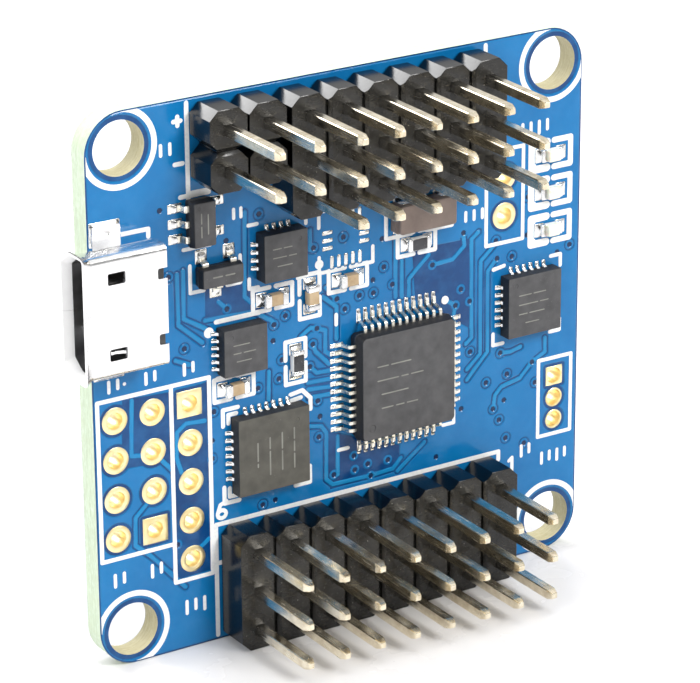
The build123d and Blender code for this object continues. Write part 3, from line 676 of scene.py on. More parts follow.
# Regions with no copper under the mask
BARE = [
    [(4.9, 5.07), (9.18, 5.0), (9.38, -1.13), (5.12, 1.75)],
    [(-9.74, 5.77), (-6.99, 5.85), (-5.84, 4.02), (-5.85, 3.07), (-9.8, 3.26)],
    [(-12.65, -0.9), (-9.54, -0.31), (-9.7, -12.75), (-12.09, -12.81)],
    [(-15.54, -0.26), (-12.29, -0.47), (-12.42, -4.96), (-15.69, -4.7)],
    [(-1.71, -5.34), (4.0, -7.66), (3.99, -9.36), (-1.17, -9.48)],
]
REAR_TRACKS = [
    [(-13.53, -3.0), (-13.53, 2.2), (-10.2, 5.5), (-4.0, 5.5)],
    [(-10.99, -2.4), (-9.2, -0.6), (-9.2, 4.0), (-6.0, 7.2), (-6.0, 12.6)],
    [(-7.845, -10.3), (-7.845, -6.0), (-5.0, -3.2), (-5.0, 2.4)],
    [(-5.305, -10.3), (-5.305, -6.6), (-3.4, -4.7), (-3.4, 3.6), (-1.31, 5.7), (-1.31, 10.0)],
    [(-2.765, -10.3), (-2.765, -6.8), (-1.9, -5.9), (-1.9, 2.6), (1.23, 5.7), (1.23, 10.0)],
    [(-0.225, -10.3), (-0.225, -1.2), (3.77, 2.8), (3.77, 10.0)],
    [(2.315, -10.3), (2.315, -3.0), (6.31, 1.0), (6.31, 10.0)],
    [(4.855, -10.3), (4.855, -4.2), (8.85, -0.2), (8.85, 10.0)],
    [(7.395, -10.3), (7.395, -7.4), (11.4, -3.4), (11.4, 4.8)],
    [(9.935, -10.3), (9.935, -8.4), (13.6, -4.8), (13.6, 2.0), (15.4, 3.8), (15.4, 10.6)],
    [(-16.07, -8.2), (-16.07, -5.0), (-15.0, -3.9), (-15.0, 7.0), (-11.4, 10.6), (-11.4, 13.0)],
]


def segs(lines):
    return [(a, b) for line in lines for a, b in zip(line, line[1:])]


# ======================================================================
# Solder mask: copper relief, openings and via dishes
# ======================================================================
HALF_TRACK, GAP, SLOPE, RELIEF = 0.125, 0.15, 0.03, 0.030
MASK_T = 0.04


def mask(geo, tracks, bare, vias, openings, front):
    """openings: (centre, su, sv, corner radius). The pour stands RELIEF above the bare laminate."""
    lines = segs(tracks)
    ring, drill = 0.31, 0.155
    isolated = [v for i, v in enumerate(vias) if i % 3 != 1]
    contours = [rrect(35.0, 35.0, 2.5, 10), rrect(34.82, 34.82, 2.41, 10), rrect(34.70, 34.70, 2.35, 10)]
    for c in MOUNT:
        contours += [circle(1.70, 48, c), circle(1.98, 40, c), circle(2.06, 40, c)]
    for c, su, sv, r in openings:
        contours.append(rrect(su, sv, r, 8 if r > 0.5 else 2, c))
        if r > 0.5 or (su > 1.2 and abs(su - sv) < 0.01):
            contours += [rrect(su + 0.36, sv + 0.36, r + 0.18, 8, c), rrect(su + 0.48, sv + 0.48, r + 0.24, 8, c)]
    for a, b in lines:
        for h in (HALF_TRACK - SLOPE, HALF_TRACK + SLOPE, HALF_TRACK + GAP - SLOPE, HALF_TRACK + GAP + SLOPE):
            contours.append(capsule(a, b, h, 5))
    for poly in bare:
        for a, b in zip(poly, poly[1:] + poly[:1]):
            contours.append(capsule(a, b, SLOPE, 4))
    for v in vias:
        contours += [circle(drill, 12, v), circle(drill + 0.05, 12, v), circle(ring - SLOPE, 16, v), circle(ring + SLOPE, 16, v)]
    for v in isolated:
        contours += [circle(ring + 0.12 - SLOPE, 18, v), circle(ring + 0.12 + SLOPE, 18, v)]

    round_open = [(c, su, sv, r) for c, su, sv, r in openings if r > 0.5 or (su > 1.2 and abs(su - sv) < 0.01)]

    def signed(p):
        """Distance inside copper, positive where copper lies under the mask."""
        d_track = seg_dist(p, lines) - HALF_TRACK
        pour = np.minimum(d_track - GAP, -(rbox_signed(p, (0, 0), 34.76, 34.76, 2.38)))
        for c in MOUNT:
            pour = np.minimum(pour, np.hypot(p[:, 0] - c[0], p[:, 1] - c[1]) - 2.02)
        for poly in bare:
            pour = np.minimum(pour, poly_signed(p, poly))
        for c, su, sv, r in round_open:
            pour = np.minimum(pour, rbox_signed(p, c, su, sv, r) - 0.21)
        d_via = np.full(len(p), 1e9)
        for i, v in enumerate(vias):
            dv = np.hypot(p[:, 0] - v[0], p[:, 1] - v[1])
            d_via = np.minimum(d_via, dv)
            if i % 3 != 1:
                pour = np.minimum(pour, dv - ring - 0.12)
        return np.maximum(np.maximum(-d_track, pour), ring - d_via), d_track, d_via

    top_w = T if front else MASK_T
    keep_open = [(c, su, sv, r) for c, su, sv, r in openings]

    def keep(p):
        ok = rbox_signed(p, (0, 0), 35.0, 35.0, 2.5) < 0
        for c in MOUNT:
            ok &= np.hypot(p[:, 0] - c[0], p[:, 1] - c[1]) > 1.70 * 0.9985
        for c, su, sv, r in keep_open:
            near = (np.abs(p[:, 0] - c[0]) < su / 2 + 0.1) & (np.abs(p[:, 1] - c[1]) < sv / 2 + 0.1)
            if near.any():
                ok[near] &= rbox_signed(p[near], c, su, sv, r) > -0.004
        return ok

    def depth(p):
        s, _, d_via = signed(p)
        h = -RELIEF * (1 - np.clip((s + SLOPE) / (2 * SLOPE), 0, 1))
        return np.minimum(h, np.where(d_via < drill + 0.03, -0.034 * np.clip((drill + 0.05 - d_via) / 0.05, 0, 1), 0.0) + 0.0)

    def tone(p):
        s, d_track, d_via = signed(p)
        copper = np.clip((s + SLOPE) / (2 * SLOPE), 0, 1)
        # painted highlight: the copper edge slopes take part of the lighter track colour
        edge = np.where(np.abs(s) < SLOPE, 0.35, 0.0)
        # painted shade: marks the via holes for an almost black colour
        hole = np.where(d_via < drill + 0.02, 0.92, 0.0)
        track = np.where(d_track < 0, 0.85, 0.0) + edge
        return np.column_stack([copper, hole, np.clip(track, 0, 1)])

    if front:
        slab(geo, contours, keep, lambda p: T + depth(p), lambda p: np.full(len(p), T - MASK_T), tone=tone)
    else:
        slab(geo, contours, keep, lambda p: np.full(len(p), MASK_T), lambda p: -depth(p), tone=tone)


ring_open = [(p, 1.72, 1.72, 0.02 if is_square(p) else 0.859) for p in GRID + COLUMN + BOOT]
ring_open += [(p, 1.28, 1.28, 0.02 if is_square(p) else 0.639) for p in AUX]
ring_open += [(p, 1.64, 1.64, 0.819) for p in RX + OUT + BEEP + BAT]
land_open = [((p[0], p[1]), p[2], p[3], 0.05) for p in LANDS + FOOT_LANDS]
g = Geo()
mask(g, TRACKS, BARE, VIAS, ring_open + land_open, True)
make("front_mask", g, [M["mask"]], ["solder_mask_front"], tone=True, flat=True)
g = Geo()
mask(g, REAR_TRACKS, [], [v for v in VIAS if abs(v[1]) < 10.0], ring_open, False)
make("rear_mask", g, [M["mask_rear"]], ["solder_mask_rear"], tone=True, flat=True)

# ======================================================================
# Printed legend
# ======================================================================
def frame_lines(u0, u1, v0, v1):
    return [[(u0, v0), (u1, v0), (u1, v1), (u0, v1), (u0, v0)]]


def bracket_pair(u, v, turned, l=2.75, w=1.42, gap=0.42):
    """Two facing C-shapes around a two-terminal piece."""
    out = []
    for s in (-1, 1):
        pts = [(s * gap / 2, w / 2), (s * l / 2, w / 2), (s * l / 2, -w / 2), (s * gap / 2, -w / 2)]
        out.append([(u - b, v + a) if turned else (u + a, v + b) for a, b in pts])
    return out


def corner_marks(c, s, arm, which=(0, 1, 2, 3)):
    out = []
    for k in which:
        h = s / 2
        pts = [turn((h, h - arm), k), turn((h, h), k), turn((h - arm, h), k)]
        out.append([(c[0] + p[0], c[1] + p[1]) for p in pts])
    return out


LEGEND = []          # (half width, list of lines)
LEGEND.append((0.135, frame_lines(-17.22, -12.24, -10.38, -0.12)))
LEGEND.append((0.135, [[(-12.24, -0.12), (-9.62, -0.12), (-9.62, -12.95), (-12.24, -12.95), (-12.24, -10.38)]]))
LEGEND.append((0.125, frame_lines(10.38, 13.14, 4.22, 10.30)))
LEGEND.append((0.125, frame_lines(14.50, 17.02, -9.55, -4.32)))
LEGEND.append((0.145, [[(-9.36, -17.2), (-9.36, -9.84), (11.46, -9.84), (11.46, -10.4)], [(-9.36, -12.40), (-8.94, -12.40)]]))
LEGEND.append((0.145, [[(-10.74, 17.2), (-10.74, 10.42)], [(-11.28, 11.52), (-9.35, 11.52)], [(-8.05, 11.52), (-5.3, 11.52)], [(10.24, 17.2), (10.24, 11.5)]]))
LEGEND.append((0.14, [[(-11.62, 16.19), (-10.98 - 0.16, 16.19)], [(-11.35, 16.46), (-11.35, 15.92)], [(-11.60, 13.58), (-11.06, 13.58)]]))
LEGEND.append((0.14, [[(-17.2, 10.02), (-13.47, 10.02), (-13.47, 9.55)], [(-13.47, 3.40), (-13.47, 2.92), (-15.4, 2.92)]]))
for u, v, turned in CAPS + RESISTORS:
    LEGEND.append((0.14, bracket_pair(u, v, turned)))
for u, v in LEDS:
    LEGEND.append((0.19, [[(u + 0.25, v + 0.86), (u + 1.52, v + 0.86), (u + 1.52, v - 0.86), (u + 0.25, v - 0.86)]]))
    LEGEND.append((0.25, [[(u - 0.25, v + 0.84), (u - 1.42, v + 0.84), (u - 1.42, v - 0.84), (u - 0.25, v - 0.84)]]))
    LEGEND.append((0.26, [[(u - 1.36, v + 0.62), (u - 1.36, v - 0.62)]]))
# resonator, regulator and transistor outlines
LEGEND.append((0.13, [[(RESO[0] - 0.55, RESO[1] + 1.36), (RESO[0] - 2.42, RESO[1] + 1.36), (RESO[0] - 2.42, RESO[1] - 1.36), (RESO[0] - 0.55, RESO[1] - 1.36)],
                      [(RESO[0] + 0.55, RESO[1] + 1.36), (RESO[0] + 2.42, RESO[1] + 1.36), (RESO[0] + 2.42, RESO[1] - 1.36), (RESO[0] + 0.55, RESO[1] - 1.36)]]))
LEGEND.append((0.12, [[(REG[0] - 0.35, REG[1] + 1.72), (REG[0] + 0.95, REG[1] + 1.72)], [(REG[0] - 0.9, REG[1] - 1.72), (REG[0] + 0.95, REG[1] - 1.72)]]))
LEGEND.append((0.12, [[(TRAN[0] + 1.72, TRAN[1] + 0.7), (TRAN[0] + 1.72, TRAN[1] - 1.0), (TRAN[0] + 0.8, TRAN[1] - 1.0)],
                      [(TRAN[0] - 1.72, TRAN[1] + 0.7), (TRAN[0] - 1.72, TRAN[1] - 1.0), (TRAN[0] - 0.8, TRAN[1] - 1.0)]]))
# USB bridge: double corner marks on two sides, single on the others
LEGEND.append((0.14, corner_marks(BRIDGE, 6.1, 1.05, (1, 2, 3)) + corner_marks(BRIDGE, 5.35, 0.55, (1, 2))))
LEGEND.append((0.14, [[(-3.95, -2.52), (-3.1, -2.40), (-2.52, -3.02), (-2.52, -3.75)], [(-3.95, -2.92), (-3.2, -2.84)]]))
LEGEND.append((0.125, corner_marks(GYRO, 5.1, 0.75, (0, 2, 3)) + [[(GYRO[0] - 2.55, GYRO[1] + 2.50), (GYRO[0] - 1.75, GYRO[1] + 2.62)]]))
LEGEND.append((0.12, corner_marks(MAG, 4.0, 0.62, (0, 2, 3)) + [[(MAG[0] - 2.0, MAG[1] + 2.0), (MAG[0] - 1.4, MAG[1] + 2.0)]]))
LEGEND.append((0.15, [[(-9.05, 3.28), (-6.05, 3.28)], [(-9.05, -0.36), (-6.9, -0.36)]]))
LEGEND.append((0.12, [[(FOOT[0] - 1.92, FOOT[1] - 0.95), (FOOT[0] - 1.92, FOOT[1] - 1.95), (FOOT[0] - 1.35, FOOT[1] - 1.95)],
                      [(FOOT[0] + 1.35, FOOT[1] - 1.95), (FOOT[0] + 1.92, FOOT[1] - 1.95), (FOOT[0] + 1.92, FOOT[1] - 0.95)],
                      [(FOOT[0] - 1.92, FOOT[1] + 0.95), (FOOT[0] - 1.92, FOOT[1] + 1.95), (FOOT[0] - 0.6, FOOT[1] + 1.95)]]))
LEGEND.append((0.12, [[(-0.62, 2.0), (-0.62, 1.35)], [(MCU[0] - 4.25, MCU[1] - 4.25 + 0.05), (MCU[0] - 3.55, MCU[1] - 4.25 + 0.05)],
                      [(MCU[0] + 4.3, MCU[1] - 4.3), (MCU[0] + 4.3, MCU[1] - 3.5)], [(MCU[0] + 4.3, MCU[1] - 4.3), (MCU[0] + 3.5, MCU[1] - 4.3)]]))
# generic marks where the board has names: short bars and digits
LEGEND.append((0.13, [[(-8.92 + 0.30 * math.cos(t), -9.22 + 0.0 + 0.26 * math.sin(t)) for t in np.linspace(0, 2 * math.pi, 13)],
                      [(-8.58, -8.42), (-9.02, -8.60), (-9.22, -9.14)]]))
LEGEND.append((0.12, [[(12.28, -10.68), (12.52, -10.50), (12.52, -11.62)]]))
for (u, v), n, step, long, upright in (
    ((-12.2, 14.6), 2, 0.62, 0.62, True), ((-7.45, 9.83), 2, 0.50, 0.55, True), ((14.0, 11.27), 4, 0.62, 0.75, False),
    ((9.47, 6.45), 3, 0.62, 0.55, True), ((13.54, -10.22), 2, 0.6, 0.7, False), ((15.74, -11.09), 4, 0.60, 0.70, False),
    ((-13.52, -11.78), 2, 0.62, 0.75, False), ((-16.07, -11.79), 2, 0.62, 0.75, False), ((-10.88, -14.8), 3, 0.62, 0.80, False),
    ((-10.99, 0.72), 2, 0.60, 0.66, False), ((-13.60, 0.72), 2, 0.60, 0.66, False), ((-16.10, 0.72), 2, 0.60, 0.66, False),
    ((7.2, 9.6), 3, 0.6, 0.7, False), ((2.6, -9.0), 0, 0, 0, False)):
    lines = []
    for i in range(n):
        d = (i - (n - 1) / 2) * step
        lines.append([(u + d, v - long / 2), (u + d, v + long / 2)] if upright else [(u + d, v - long / 2 * (0.55 if i % 2 else 1)), (u + d, v + long / 2)])
    if n:
        LEGEND.append((0.11, lines))
DOTS = [((7.34, 1.29), 0.27), ((-9.56, 2.71), 0.33), ((-1.80, 5.46), 0.30), ((-15.35, 0.72), 0.11), ((10.95, 10.78), 0.16), ((-10.2, 7.9), 0.13)]
RINGS = [(c, 2.16, 2.52) for c in MOUNT]


def legend(geo, groups, dots, rings, avoid, w_bottom, w_top, rear=False):
    contours, capsules = [], []
    for h, lines in groups:
        for a, b in segs(lines):
            contours.append(capsule(a, b, h, 5))
            capsules.append((a, b, h))
    for c, r in dots:
        contours.append(circle(r, 20, c))
    for c, r0, r1 in rings:
        contours += [circle(r0, 64, c), circle(r1, 64, c)]
    contours.append(rrect(34.82, 34.82, 2.41, 10))
    for c, su, sv, r in avoid:
        contours.append(rrect(su + 0.10, sv + 0.10, max(r, 0.06) + 0.03, 5 if r > 0.5 else 2, c))

    def keep(p):
        d = np.full(len(p), 1e9)
        for a, b, h in capsules:
            near = (np.abs(p[:, 0] - (a[0] + b[0]) / 2) < abs(a[0] - b[0]) / 2 + 0.6) & (np.abs(p[:, 1] - (a[1] + b[1]) / 2) < abs(a[1] - b[1]) / 2 + 0.6)
            if near.any():
                d[near] = np.minimum(d[near], seg_dist(p[near], [(a, b)]) - h)
        for c, r in dots:
            d = np.minimum(d, np.hypot(p[:, 0] - c[0], p[:, 1] - c[1]) - r)
        for c, r0, r1 in rings:
            q = np.hypot(p[:, 0] - c[0], p[:, 1] - c[1])
            d = np.minimum(d, np.maximum(r0 - q, q - r1))
        ok = (d < 0) & (rbox_signed(p, (0, 0), 34.82, 34.82, 2.41) < 0)
        for c, su, sv, r in avoid:
            near = (np.abs(p[:, 0] - c[0]) < su / 2 + 0.2) & (np.abs(p[:, 1] - c[1]) < sv / 2 + 0.2)
            if near.any():
                ok[near] &= rbox_signed(p[near], c, su + 0.10, sv + 0.10, max(r, 0.06) + 0.03) > 0
        return ok

    slab(geo, contours, keep, lambda p: np.full(len(p), w_top), lambda p: np.full(len(p), w_bottom))


g = Geo()
legend(g, LEGEND, DOTS, RINGS, ring_open + land_open, T - 0.034, T + 0.014)
rear_groups = [(0.14, frame_lines(-9.3, 11.4, -17.1, -9.9)), (0.14, frame_lines(-5.3, 10.2, 9.5, 17.1)),
               (0.14, frame_lines(-10.75, -5.4, 12.2, 17.1)), (0.14, frame_lines(-17.1, -9.6, -10.4, -0.2)),
               (0.13, [[(-3.0, -1.2), (-3.0, 1.2), (3.0, 1.2), (3.0, -1.2), (-3.0, -1.2)]]),
               (0.16, [[(0.0, -0.7), (0.0, 0.5)], [(-0.45, 0.1), (0.0, 0.62), (0.45, 0.1)]])]
legend(g, rear_groups, [((-12.0, 8.0), 0.3)], RINGS, ring_open, -0.014, 0.034)
make("printed_legend", g, [M["ink"]], [], flat=True)

# ======================================================================
# Plated holes and lands
# ======================================================================
def eyelet(geo, p, r, lift=0.012, spokes=False):
    """Barrel with a ring on each side, as one closed skin turned about the hole's axis."""
    n = 40
    sq = is_square(p)

    def out(rr, w):
        if not sq:
            return level(circle(rr, n), w)
        th = np.arange(n) * 2 * math.pi / n
        # a squircle with firm corners
        k = (np.abs(np.cos(th)) ** 14 + np.abs(np.sin(th)) ** 14) ** (-1 / 14)
        return level(np.column_stack([rr * k * np.cos(th), rr * k * np.sin(th)]), w)

    d = 0.50
    top, low = T + lift, -lift
    rings = [out(r, T - MASK_T), out(r, top - 0.020), out(r - 0.03, top), level(circle(d + 0.10, n), top + 0.006), level(circle(d + 0.03, n), top - 0.012),
             level(circle(d, n), top - 0.06), level(circle(d, n), low + 0.06), level(circle(d + 0.03, n), low + 0.012),
             level(circle(d + 0.10, n), low - 0.006), out(r - 0.03, low), out(r, low + 0.020), out(r, MASK_T), level(circle(0.53, n), MASK_T), level(circle(0.53, n), T - MASK_T)]
    loft(geo, rings[::1], closed=True)


for name, holes, r in (("serial_port_eyelets", GRID, 0.855), ("receiver_port_eyelets", COLUMN, 0.855), ("boot_eyelets", BOOT, 0.855), ("spare_port_eyelets", AUX, 0.635)):
    g = Geo()
    for p in holes:
        eyelet(g.at(*p), p, r)
    node = {"serial_port_eyelets": "serial_port_pads", "receiver_port_eyelets": "receiver_port_pads", "boot_eyelets": "boot_pads", "spare_port_eyelets": "spare_port_pads"}[name]
    make(name, g, [M["gold"]], [node])
g = Geo()
for p in RX + OUT + BEEP + BAT:
    eyelet(g.at(*p), p, 0.815)
make("header_eyelets", g, [M["gold"]], ["header_hole_plating"])

g = Geo()
for p in LANDS:
    big = min(p[2], p[3]) > 0.6
    pillow(g.at(p[0], p[1]), p[2] - 0.01, p[3] - 0.01, T - MASK_T, T + 0.006, 0.05, crown=0.03 if big else 0.012)
make("tinned_lands", g, [M["tin"]], ["component_lands"])
g = Geo()
for p in FOOT_LANDS:
    pillow(g.at(p[0], p[1]), p[2] - 0.01, p[3] - 0.01, T - MASK_T, T + 0.008, 0.10, crown=0.035)
make("unfitted_lands", g, [M["tin"]], ["unfitted_sensor_lands"])

# ======================================================================
# Pin headers
# ======================================================================
H_TOP = T + 2.54


def housing_outline(col0, row0, cols, rows, notched, ch=0.50):
    h = PITCH / 2
    pts = []
    if notched == "v":
        top, bot = row0 + h, row0 - PITCH * (rows - 1) - h
        for i in reversed(range(cols)):
            u = col0 + PITCH * i
            pts += [(u + h, top - ch), (u + h - ch, top), (u - h + ch, top)]
        pts += [(col0 - h, top - ch), (col0 - h, bot + ch)]
        for i in range(cols):
            u = col0 + PITCH * i
            pts += [(u - h + ch, bot), (u + h - ch, bot), (u + h, bot + ch)]
    else:
        left, right = col0 - h, col0 + PITCH * (cols - 1) + h
        for r in range(rows):
            v = row0 - PITCH * r
            pts += [(left + ch, v + h), (left, v + h - ch), (left, v - h + ch)]
        pts += [(left + ch, row0 - PITCH * (rows - 1) - h), (right - ch, row0 - PITCH * (rows - 1) - h)]
        for r in reversed(range(rows)):
            v = row0 - PITCH * r
            pts += [(right, v - h + ch), (right, v + h - ch), (right - ch, v + h)]
    out = []
    for p in pts:
        if not out or math.dist(p, out[-1]) > 1e-6:
            out.append(p)
    if math.dist(out[0], out[-1]) < 1e-6:
        out.pop()
    return np.array(out)


def shrink(poly, d):
    """Moves every side of a counter-clockwise outline inwards by d."""
    n = len(poly)
    out = []
    for i in range(n):
        a, b, c = poly[i - 1], poly[i], poly[(i + 1) % n]
        t0, t1 = (b - a) / np.linalg.norm(b - a), (c - b) / np.linalg.norm(c - b)
        n0, n1 = np.array([-t0[1], t0[0]]), np.array([-t1[1], t1[0]])
        m = n0 + n1
        out.append(b + m * d / max(1.0 + float(n0 @ n1), 0.25))
    return np.array(out)


def header_bar(geo, base, holes, face):
    """One bevelled bar of the moulding, its lower edge drawn in, with a square hole at every pin."""
    if np.sum(base[:, 0] * np.roll(base[:, 1], -1) - np.roll(base[:, 0], -1) * base[:, 1]) < 0:
        base, face = base[::-1], face[::-1]
    edge = 0.04
    rings = [level(shrink(base, 0.12), T + 0.02), level(shrink(base, 0.03), T + 0.16), level(shrink(base, 0.0), T + 0.30),
             level(shrink(base, 0.0), H_TOP - 0.20), level(shrink(face, 0.008), H_TOP - 0.024), level(shrink(face, edge), H_TOP - 0.004)]
    loft(geo, rings, caps=(True, False))
    lid = shrink(face, edge)
    hs, hd = 0.326, 0.12
    contours = [lid] + [rrect(2 * hs, 2 * hs, 0.03, 1, c) for c in holes] + [rrect(2 * hs + 0.10, 2 * hs + 0.10, 0.05, 1, c) for c in holes]
    V, F = triangulate(contours)
    mid = V[F].mean(axis=1)
    ok = poly_signed(mid, [tuple(p) for p in lid]) < 0
    for c in holes:
        ok &= rbox_signed(mid, c, 2 * hs, 2 * hs, 0.03) > 0
    F = F[ok]
    w = np.full(len(V), H_TOP - 0.004)
    for c in holes:
        d = rbox_signed(V, c, 2 * hs, 2 * hs, 0.03)
        w -= 0.02 * np.clip(1 - d / 0.05, 0, 1) * (d > -0.01)
    geo.add(np.column_stack([V, w]), [tuple(f) for f in F])
    for c in holes:
        ring = rrect(2 * hs, 2 * hs, 0.03, 1, c)
        loft(geo, [level(ring, H_TOP - 0.024), level(ring, H_TOP - hd)], caps=(False, False))
        n = len(ring)
        # turn the shaft wall inwards and floor it
        geo.f[-n:] = [f[::-1] for f in geo.f[-n:]]
        geo.add(level(ring, H_TOP - hd), [tuple(range(n))])


def header_housing(geo, col0, row0, cols, rows, notched):
    """Row of bevelled bars with a recessed web in every break groove."""
    h, c, g, bev = PITCH / 2, 0.58, 0.06, 0.17
    if notched == "v":
        n, mid, half = cols, row0 - PITCH * (rows - 1) / 2, PITCH * rows / 2
        at = lambda i: col0 + PITCH * i
        flip = lambda x, y: (x, y)
        pins = lambda i: [(at(i), row0 - PITCH * r) for r in range(rows)]
    else:
        n, mid, half = rows, col0 + PITCH * (cols - 1) / 2, PITCH * cols / 2
        at = lambda i: row0 - PITCH * i
        flip = lambda x, y: (y, x)
        pins = lambda i: [(col0 + PITCH * r, at(i)) for r in range(cols)]
    order = sorted(range(n), key=at)
    for k, i in enumerate(order):
        x0 = at(i) - h + (g if k > 0 else 0.0)
        x1 = at(i) + h - (g if k < n - 1 else 0.0)
        pts = [(x0 + c, mid - half), (x1 - c, mid - half), (x1, mid - half + c), (x1, mid + half - c),
               (x1 - c, mid + half), (x0 + c, mid + half), (x0, mid + half - c), (x0, mid - half + c)]
        a, b = x0 + (bev if k > 0 else 0.0), x1 - (bev if k < n - 1 else 0.0)
        da, db = a - x0, b - x1
        top = [(x0 + c, mid - half), (x1 - c, mid - half), (b, mid - half + c + db), (b, mid + half - c - db),
               (x1 - c, mid + half), (x0 + c, mid + half), (a, mid + half - c + da), (a, mid - half + c - da)]
        header_bar(geo, np.array([flip(*p) for p in pts]), pins(i), np.array([flip(*p) for p in top]))
        if k < n - 1:
            e = at(i) + h
            web = [(e - g - 0.03, mid - half + c + 0.03), (e + g + 0.03, mid - half + c + 0.03), (e + g + 0.03, mid + half - c - 0.03), (e - g - 0.03, mid + half - c - 0.03)]
            web = np.array([flip(*p) for p in web])
            if np.sum(web[:, 0] * np.roll(web[:, 1], -1) - np.roll(web[:, 0], -1) * web[:, 1]) < 0:
                web = web[::-1]
            loft(geo, [level(web, T + 0.20), level(web, H_TOP - 0.34), level(shrink(web, 0.02), H_TOP - 0.325)])


def header_pin(geo, lean, top, twist):
    s, b = 0.32, 0.045
    def sec(h, w, k=1.0):
        q = min(b, h * 0.3)
        pts = [(h, -h + q), (h, h - q), (h - q, h), (-h + q, h), (-h, h - q), (-h, -h + q), (-h + q, -h), (h - q, -h)]
        return level(np.array(pts), w)
    rings = [sec(0.145, -1.35), sec(0.165, -1.33), sec(s - 0.012, -0.84), sec(s, -0.78), sec(s, T + 2.0), sec(s, T + top - 0.46), sec(s - 0.01, T + top - 0.41),
             sec(0.205, T + top - 0.05), sec(0.185, T + top - 0.012), sec(0.16, T + top)]
    loft(geo, rings)


def solder_cone(geo):
    n = 24
    prof = [(0.50, 0.35), (0.50, 0.02), (0.79, -0.012), (0.74, -0.10), (0.60, -0.24), (0.48, -0.42), (0.41, -0.62), (0.37, -0.80), (0.33, -0.86)]
    rings = [level(circle(r, n), w) for r, w in prof][::-1]
    loft(geo, rings)


for stem, col0, row0, cols, rows, notched, holes in (
    ("receiver_header", -7.845, -11.15, 8, 3, "v", RX),
    ("output_header", -3.85, 15.90, 6, 3, "v", OUT),
    ("beeper_header", -9.38, 15.98, 1, 2, "h", BEEP),
    ("battery_header", -6.72, 15.98, 1, 2, "h", BAT),
):
    g = Geo()
    header_housing(g, col0, row0, cols, rows, notched)
    make(stem + "_moulding", g, [M["header"]], [stem + "_housing"], angle=28)
    g = Geo()
    for p in holes:
        lean = RNG.normal(0, 0.0022, 2)
        header_pin(g.at(p[0], p[1], float(RNG.normal(0, 1.2)), tilt=(float(np.clip(lean[0], -0.004, 0.004)), float(np.clip(lean[1], -0.004, 0.004)))), None, 8.54 - float(RNG.uniform(0, 0.06)), None)
    make(stem + "_square_pins", g, [M["pin"]], [stem + "_pins"], angle=14)
    g = Geo()
    for p in holes:
        solder_cone(g.at(p[0], p[1], float(RNG.uniform(0, 360))))
    make(stem + "_joints", g, [M["solder"]], [stem + "_solder"])

# ======================================================================
# Microcontroller
# ======================================================================
def lid_face(geo, outline, w, marks, mat=0):
    """Top face with shallow round dishes. marks: (centre, radius, depth, rim)."""
    contours = [outline]
    for c, r, d, rim in marks:
        contours += [circle(r, 28, c), circle(r + rim, 28, c)]
    V, F = triangulate(contours)
    mid = V[F].mean(axis=1)
    F = F[poly_signed(mid, [tuple(p) for p in outline]) < 0]
    ww = np.full(len(V), float(w))
    for c, r, d, rim in marks:
        q = np.hypot(V[:, 0] - c[0], V[:, 1] - c[1])
        ww -= d * np.clip((r + rim - q) / rim, 0, 1)
    geo.add(np.column_stack([V, ww]), [tuple(f) for f in F], mat)


def moulded_body(geo, s, w0, mid, w1, draft, r, b, marks, bottom=0.05):
    """Body moulded in two halves: drafted sides, a parting line and a rolled upper edge."""
    full = lambda k, w: level(rrect(s - 2 * k, s - 2 * k, r, 4), w)
    rings = [full(draft + 0.02, w0), full(draft - 0.005, w0 + 0.03), full(0.012, mid - 0.02), full(0.0, mid - 0.008), full(0.0, mid + 0.008), full(0.012, mid + 0.02),
             full(draft, w1 - b), full(draft + b * 0.3, w1 - b * 0.3), full(draft + b, w1)]
    loft(geo, rings, caps=(True, False))
    lid_face(geo, rrect(s - 2 * (draft + b), s - 2 * (draft + b), r, 4), w1, marks)


W0 = T + 0.10
g = Geo()
moulded_body(g.at(*MCU), 7.0, W0, W0 + 0.70, W0 + 1.40, 0.13, 0.30, 0.05, [((2.55, 2.45), 0.42, 0.020, 0.05), ((-2.70, -2.60), 0.20, 0.045, 0.05)])
make("mcu_moulding", g, [M["epoxy"]], ["mcu_body"], angle=24)

g = Geo()
mid = W0 + 0.70
path = bend_path([(3.10, mid), (3.86, mid), (4.08, T + 0.075), (4.50, T + 0.070)], 0.16, 5)
joint = Geo()
for k in range(4):
    for i in range(12):
        t = (i - 5.5) * 0.50
        c = turn((0, t), k)
        g.at(MCU[0] + c[0], MCU[1] + c[1], 90 * k)
        sweep_strip(g, path, 0.215, 0.13, 0.022)
        joint.at(MCU[0] + c[0], MCU[1] + c[1], 90 * k)
        # solder wicked round the toe and the heel
        h = float(RNG.uniform(0.045, 0.075))
        rings = []
        for x, wd, hh in ((4.76, 0.20, 0.006), (4.70, 0.25, 0.018), (4.60, 0.26, h), (4.52, 0.262, h + 0.035), (4.30, 0.262, 0.05), (4.10, 0.262, 0.05), (4.00, 0.24, 0.07), (3.90, 0.21, 0.02)):
            sec = [(-wd / 2, 0.0), (wd / 2, 0.0), (wd / 2 - 0.02, hh * 0.55), (wd / 2 - 0.07, hh), (-wd / 2 + 0.07, hh), (-wd / 2 + 0.02, hh * 0.55)]
            rings.append(np.array([(x, a, T + b) for a, b in sec]))
        loft(joint, rings)
make("mcu_gull_leads", g, [M["lead"]], ["mcu_leads"], angle=32)
make("mcu_lead_joints", joint, [M["solder"]], [], angle=50)

# ======================================================================
# Leadless chips
# ======================================================================
marks = Geo()


def mark_lines(c, w, lines, half=0.045):
    """Short laser-marked bars, no lettering."""
    contours, caps_ = [], []
    for a, b in lines:
        a, b = (c[0] + a[0], c[1] + a[1]), (c[0] + b[0], c[1] + b[1])
        contours.append(capsule(a, b, half, 3))
        caps_.append((a, b))
    marks.xf = None
    slab(marks, contours, lambda p: seg_dist(p, caps_) < half, lambda p: np.full(len(p), w + 0.003), lambda p: np.full(len(p), w - 0.01))


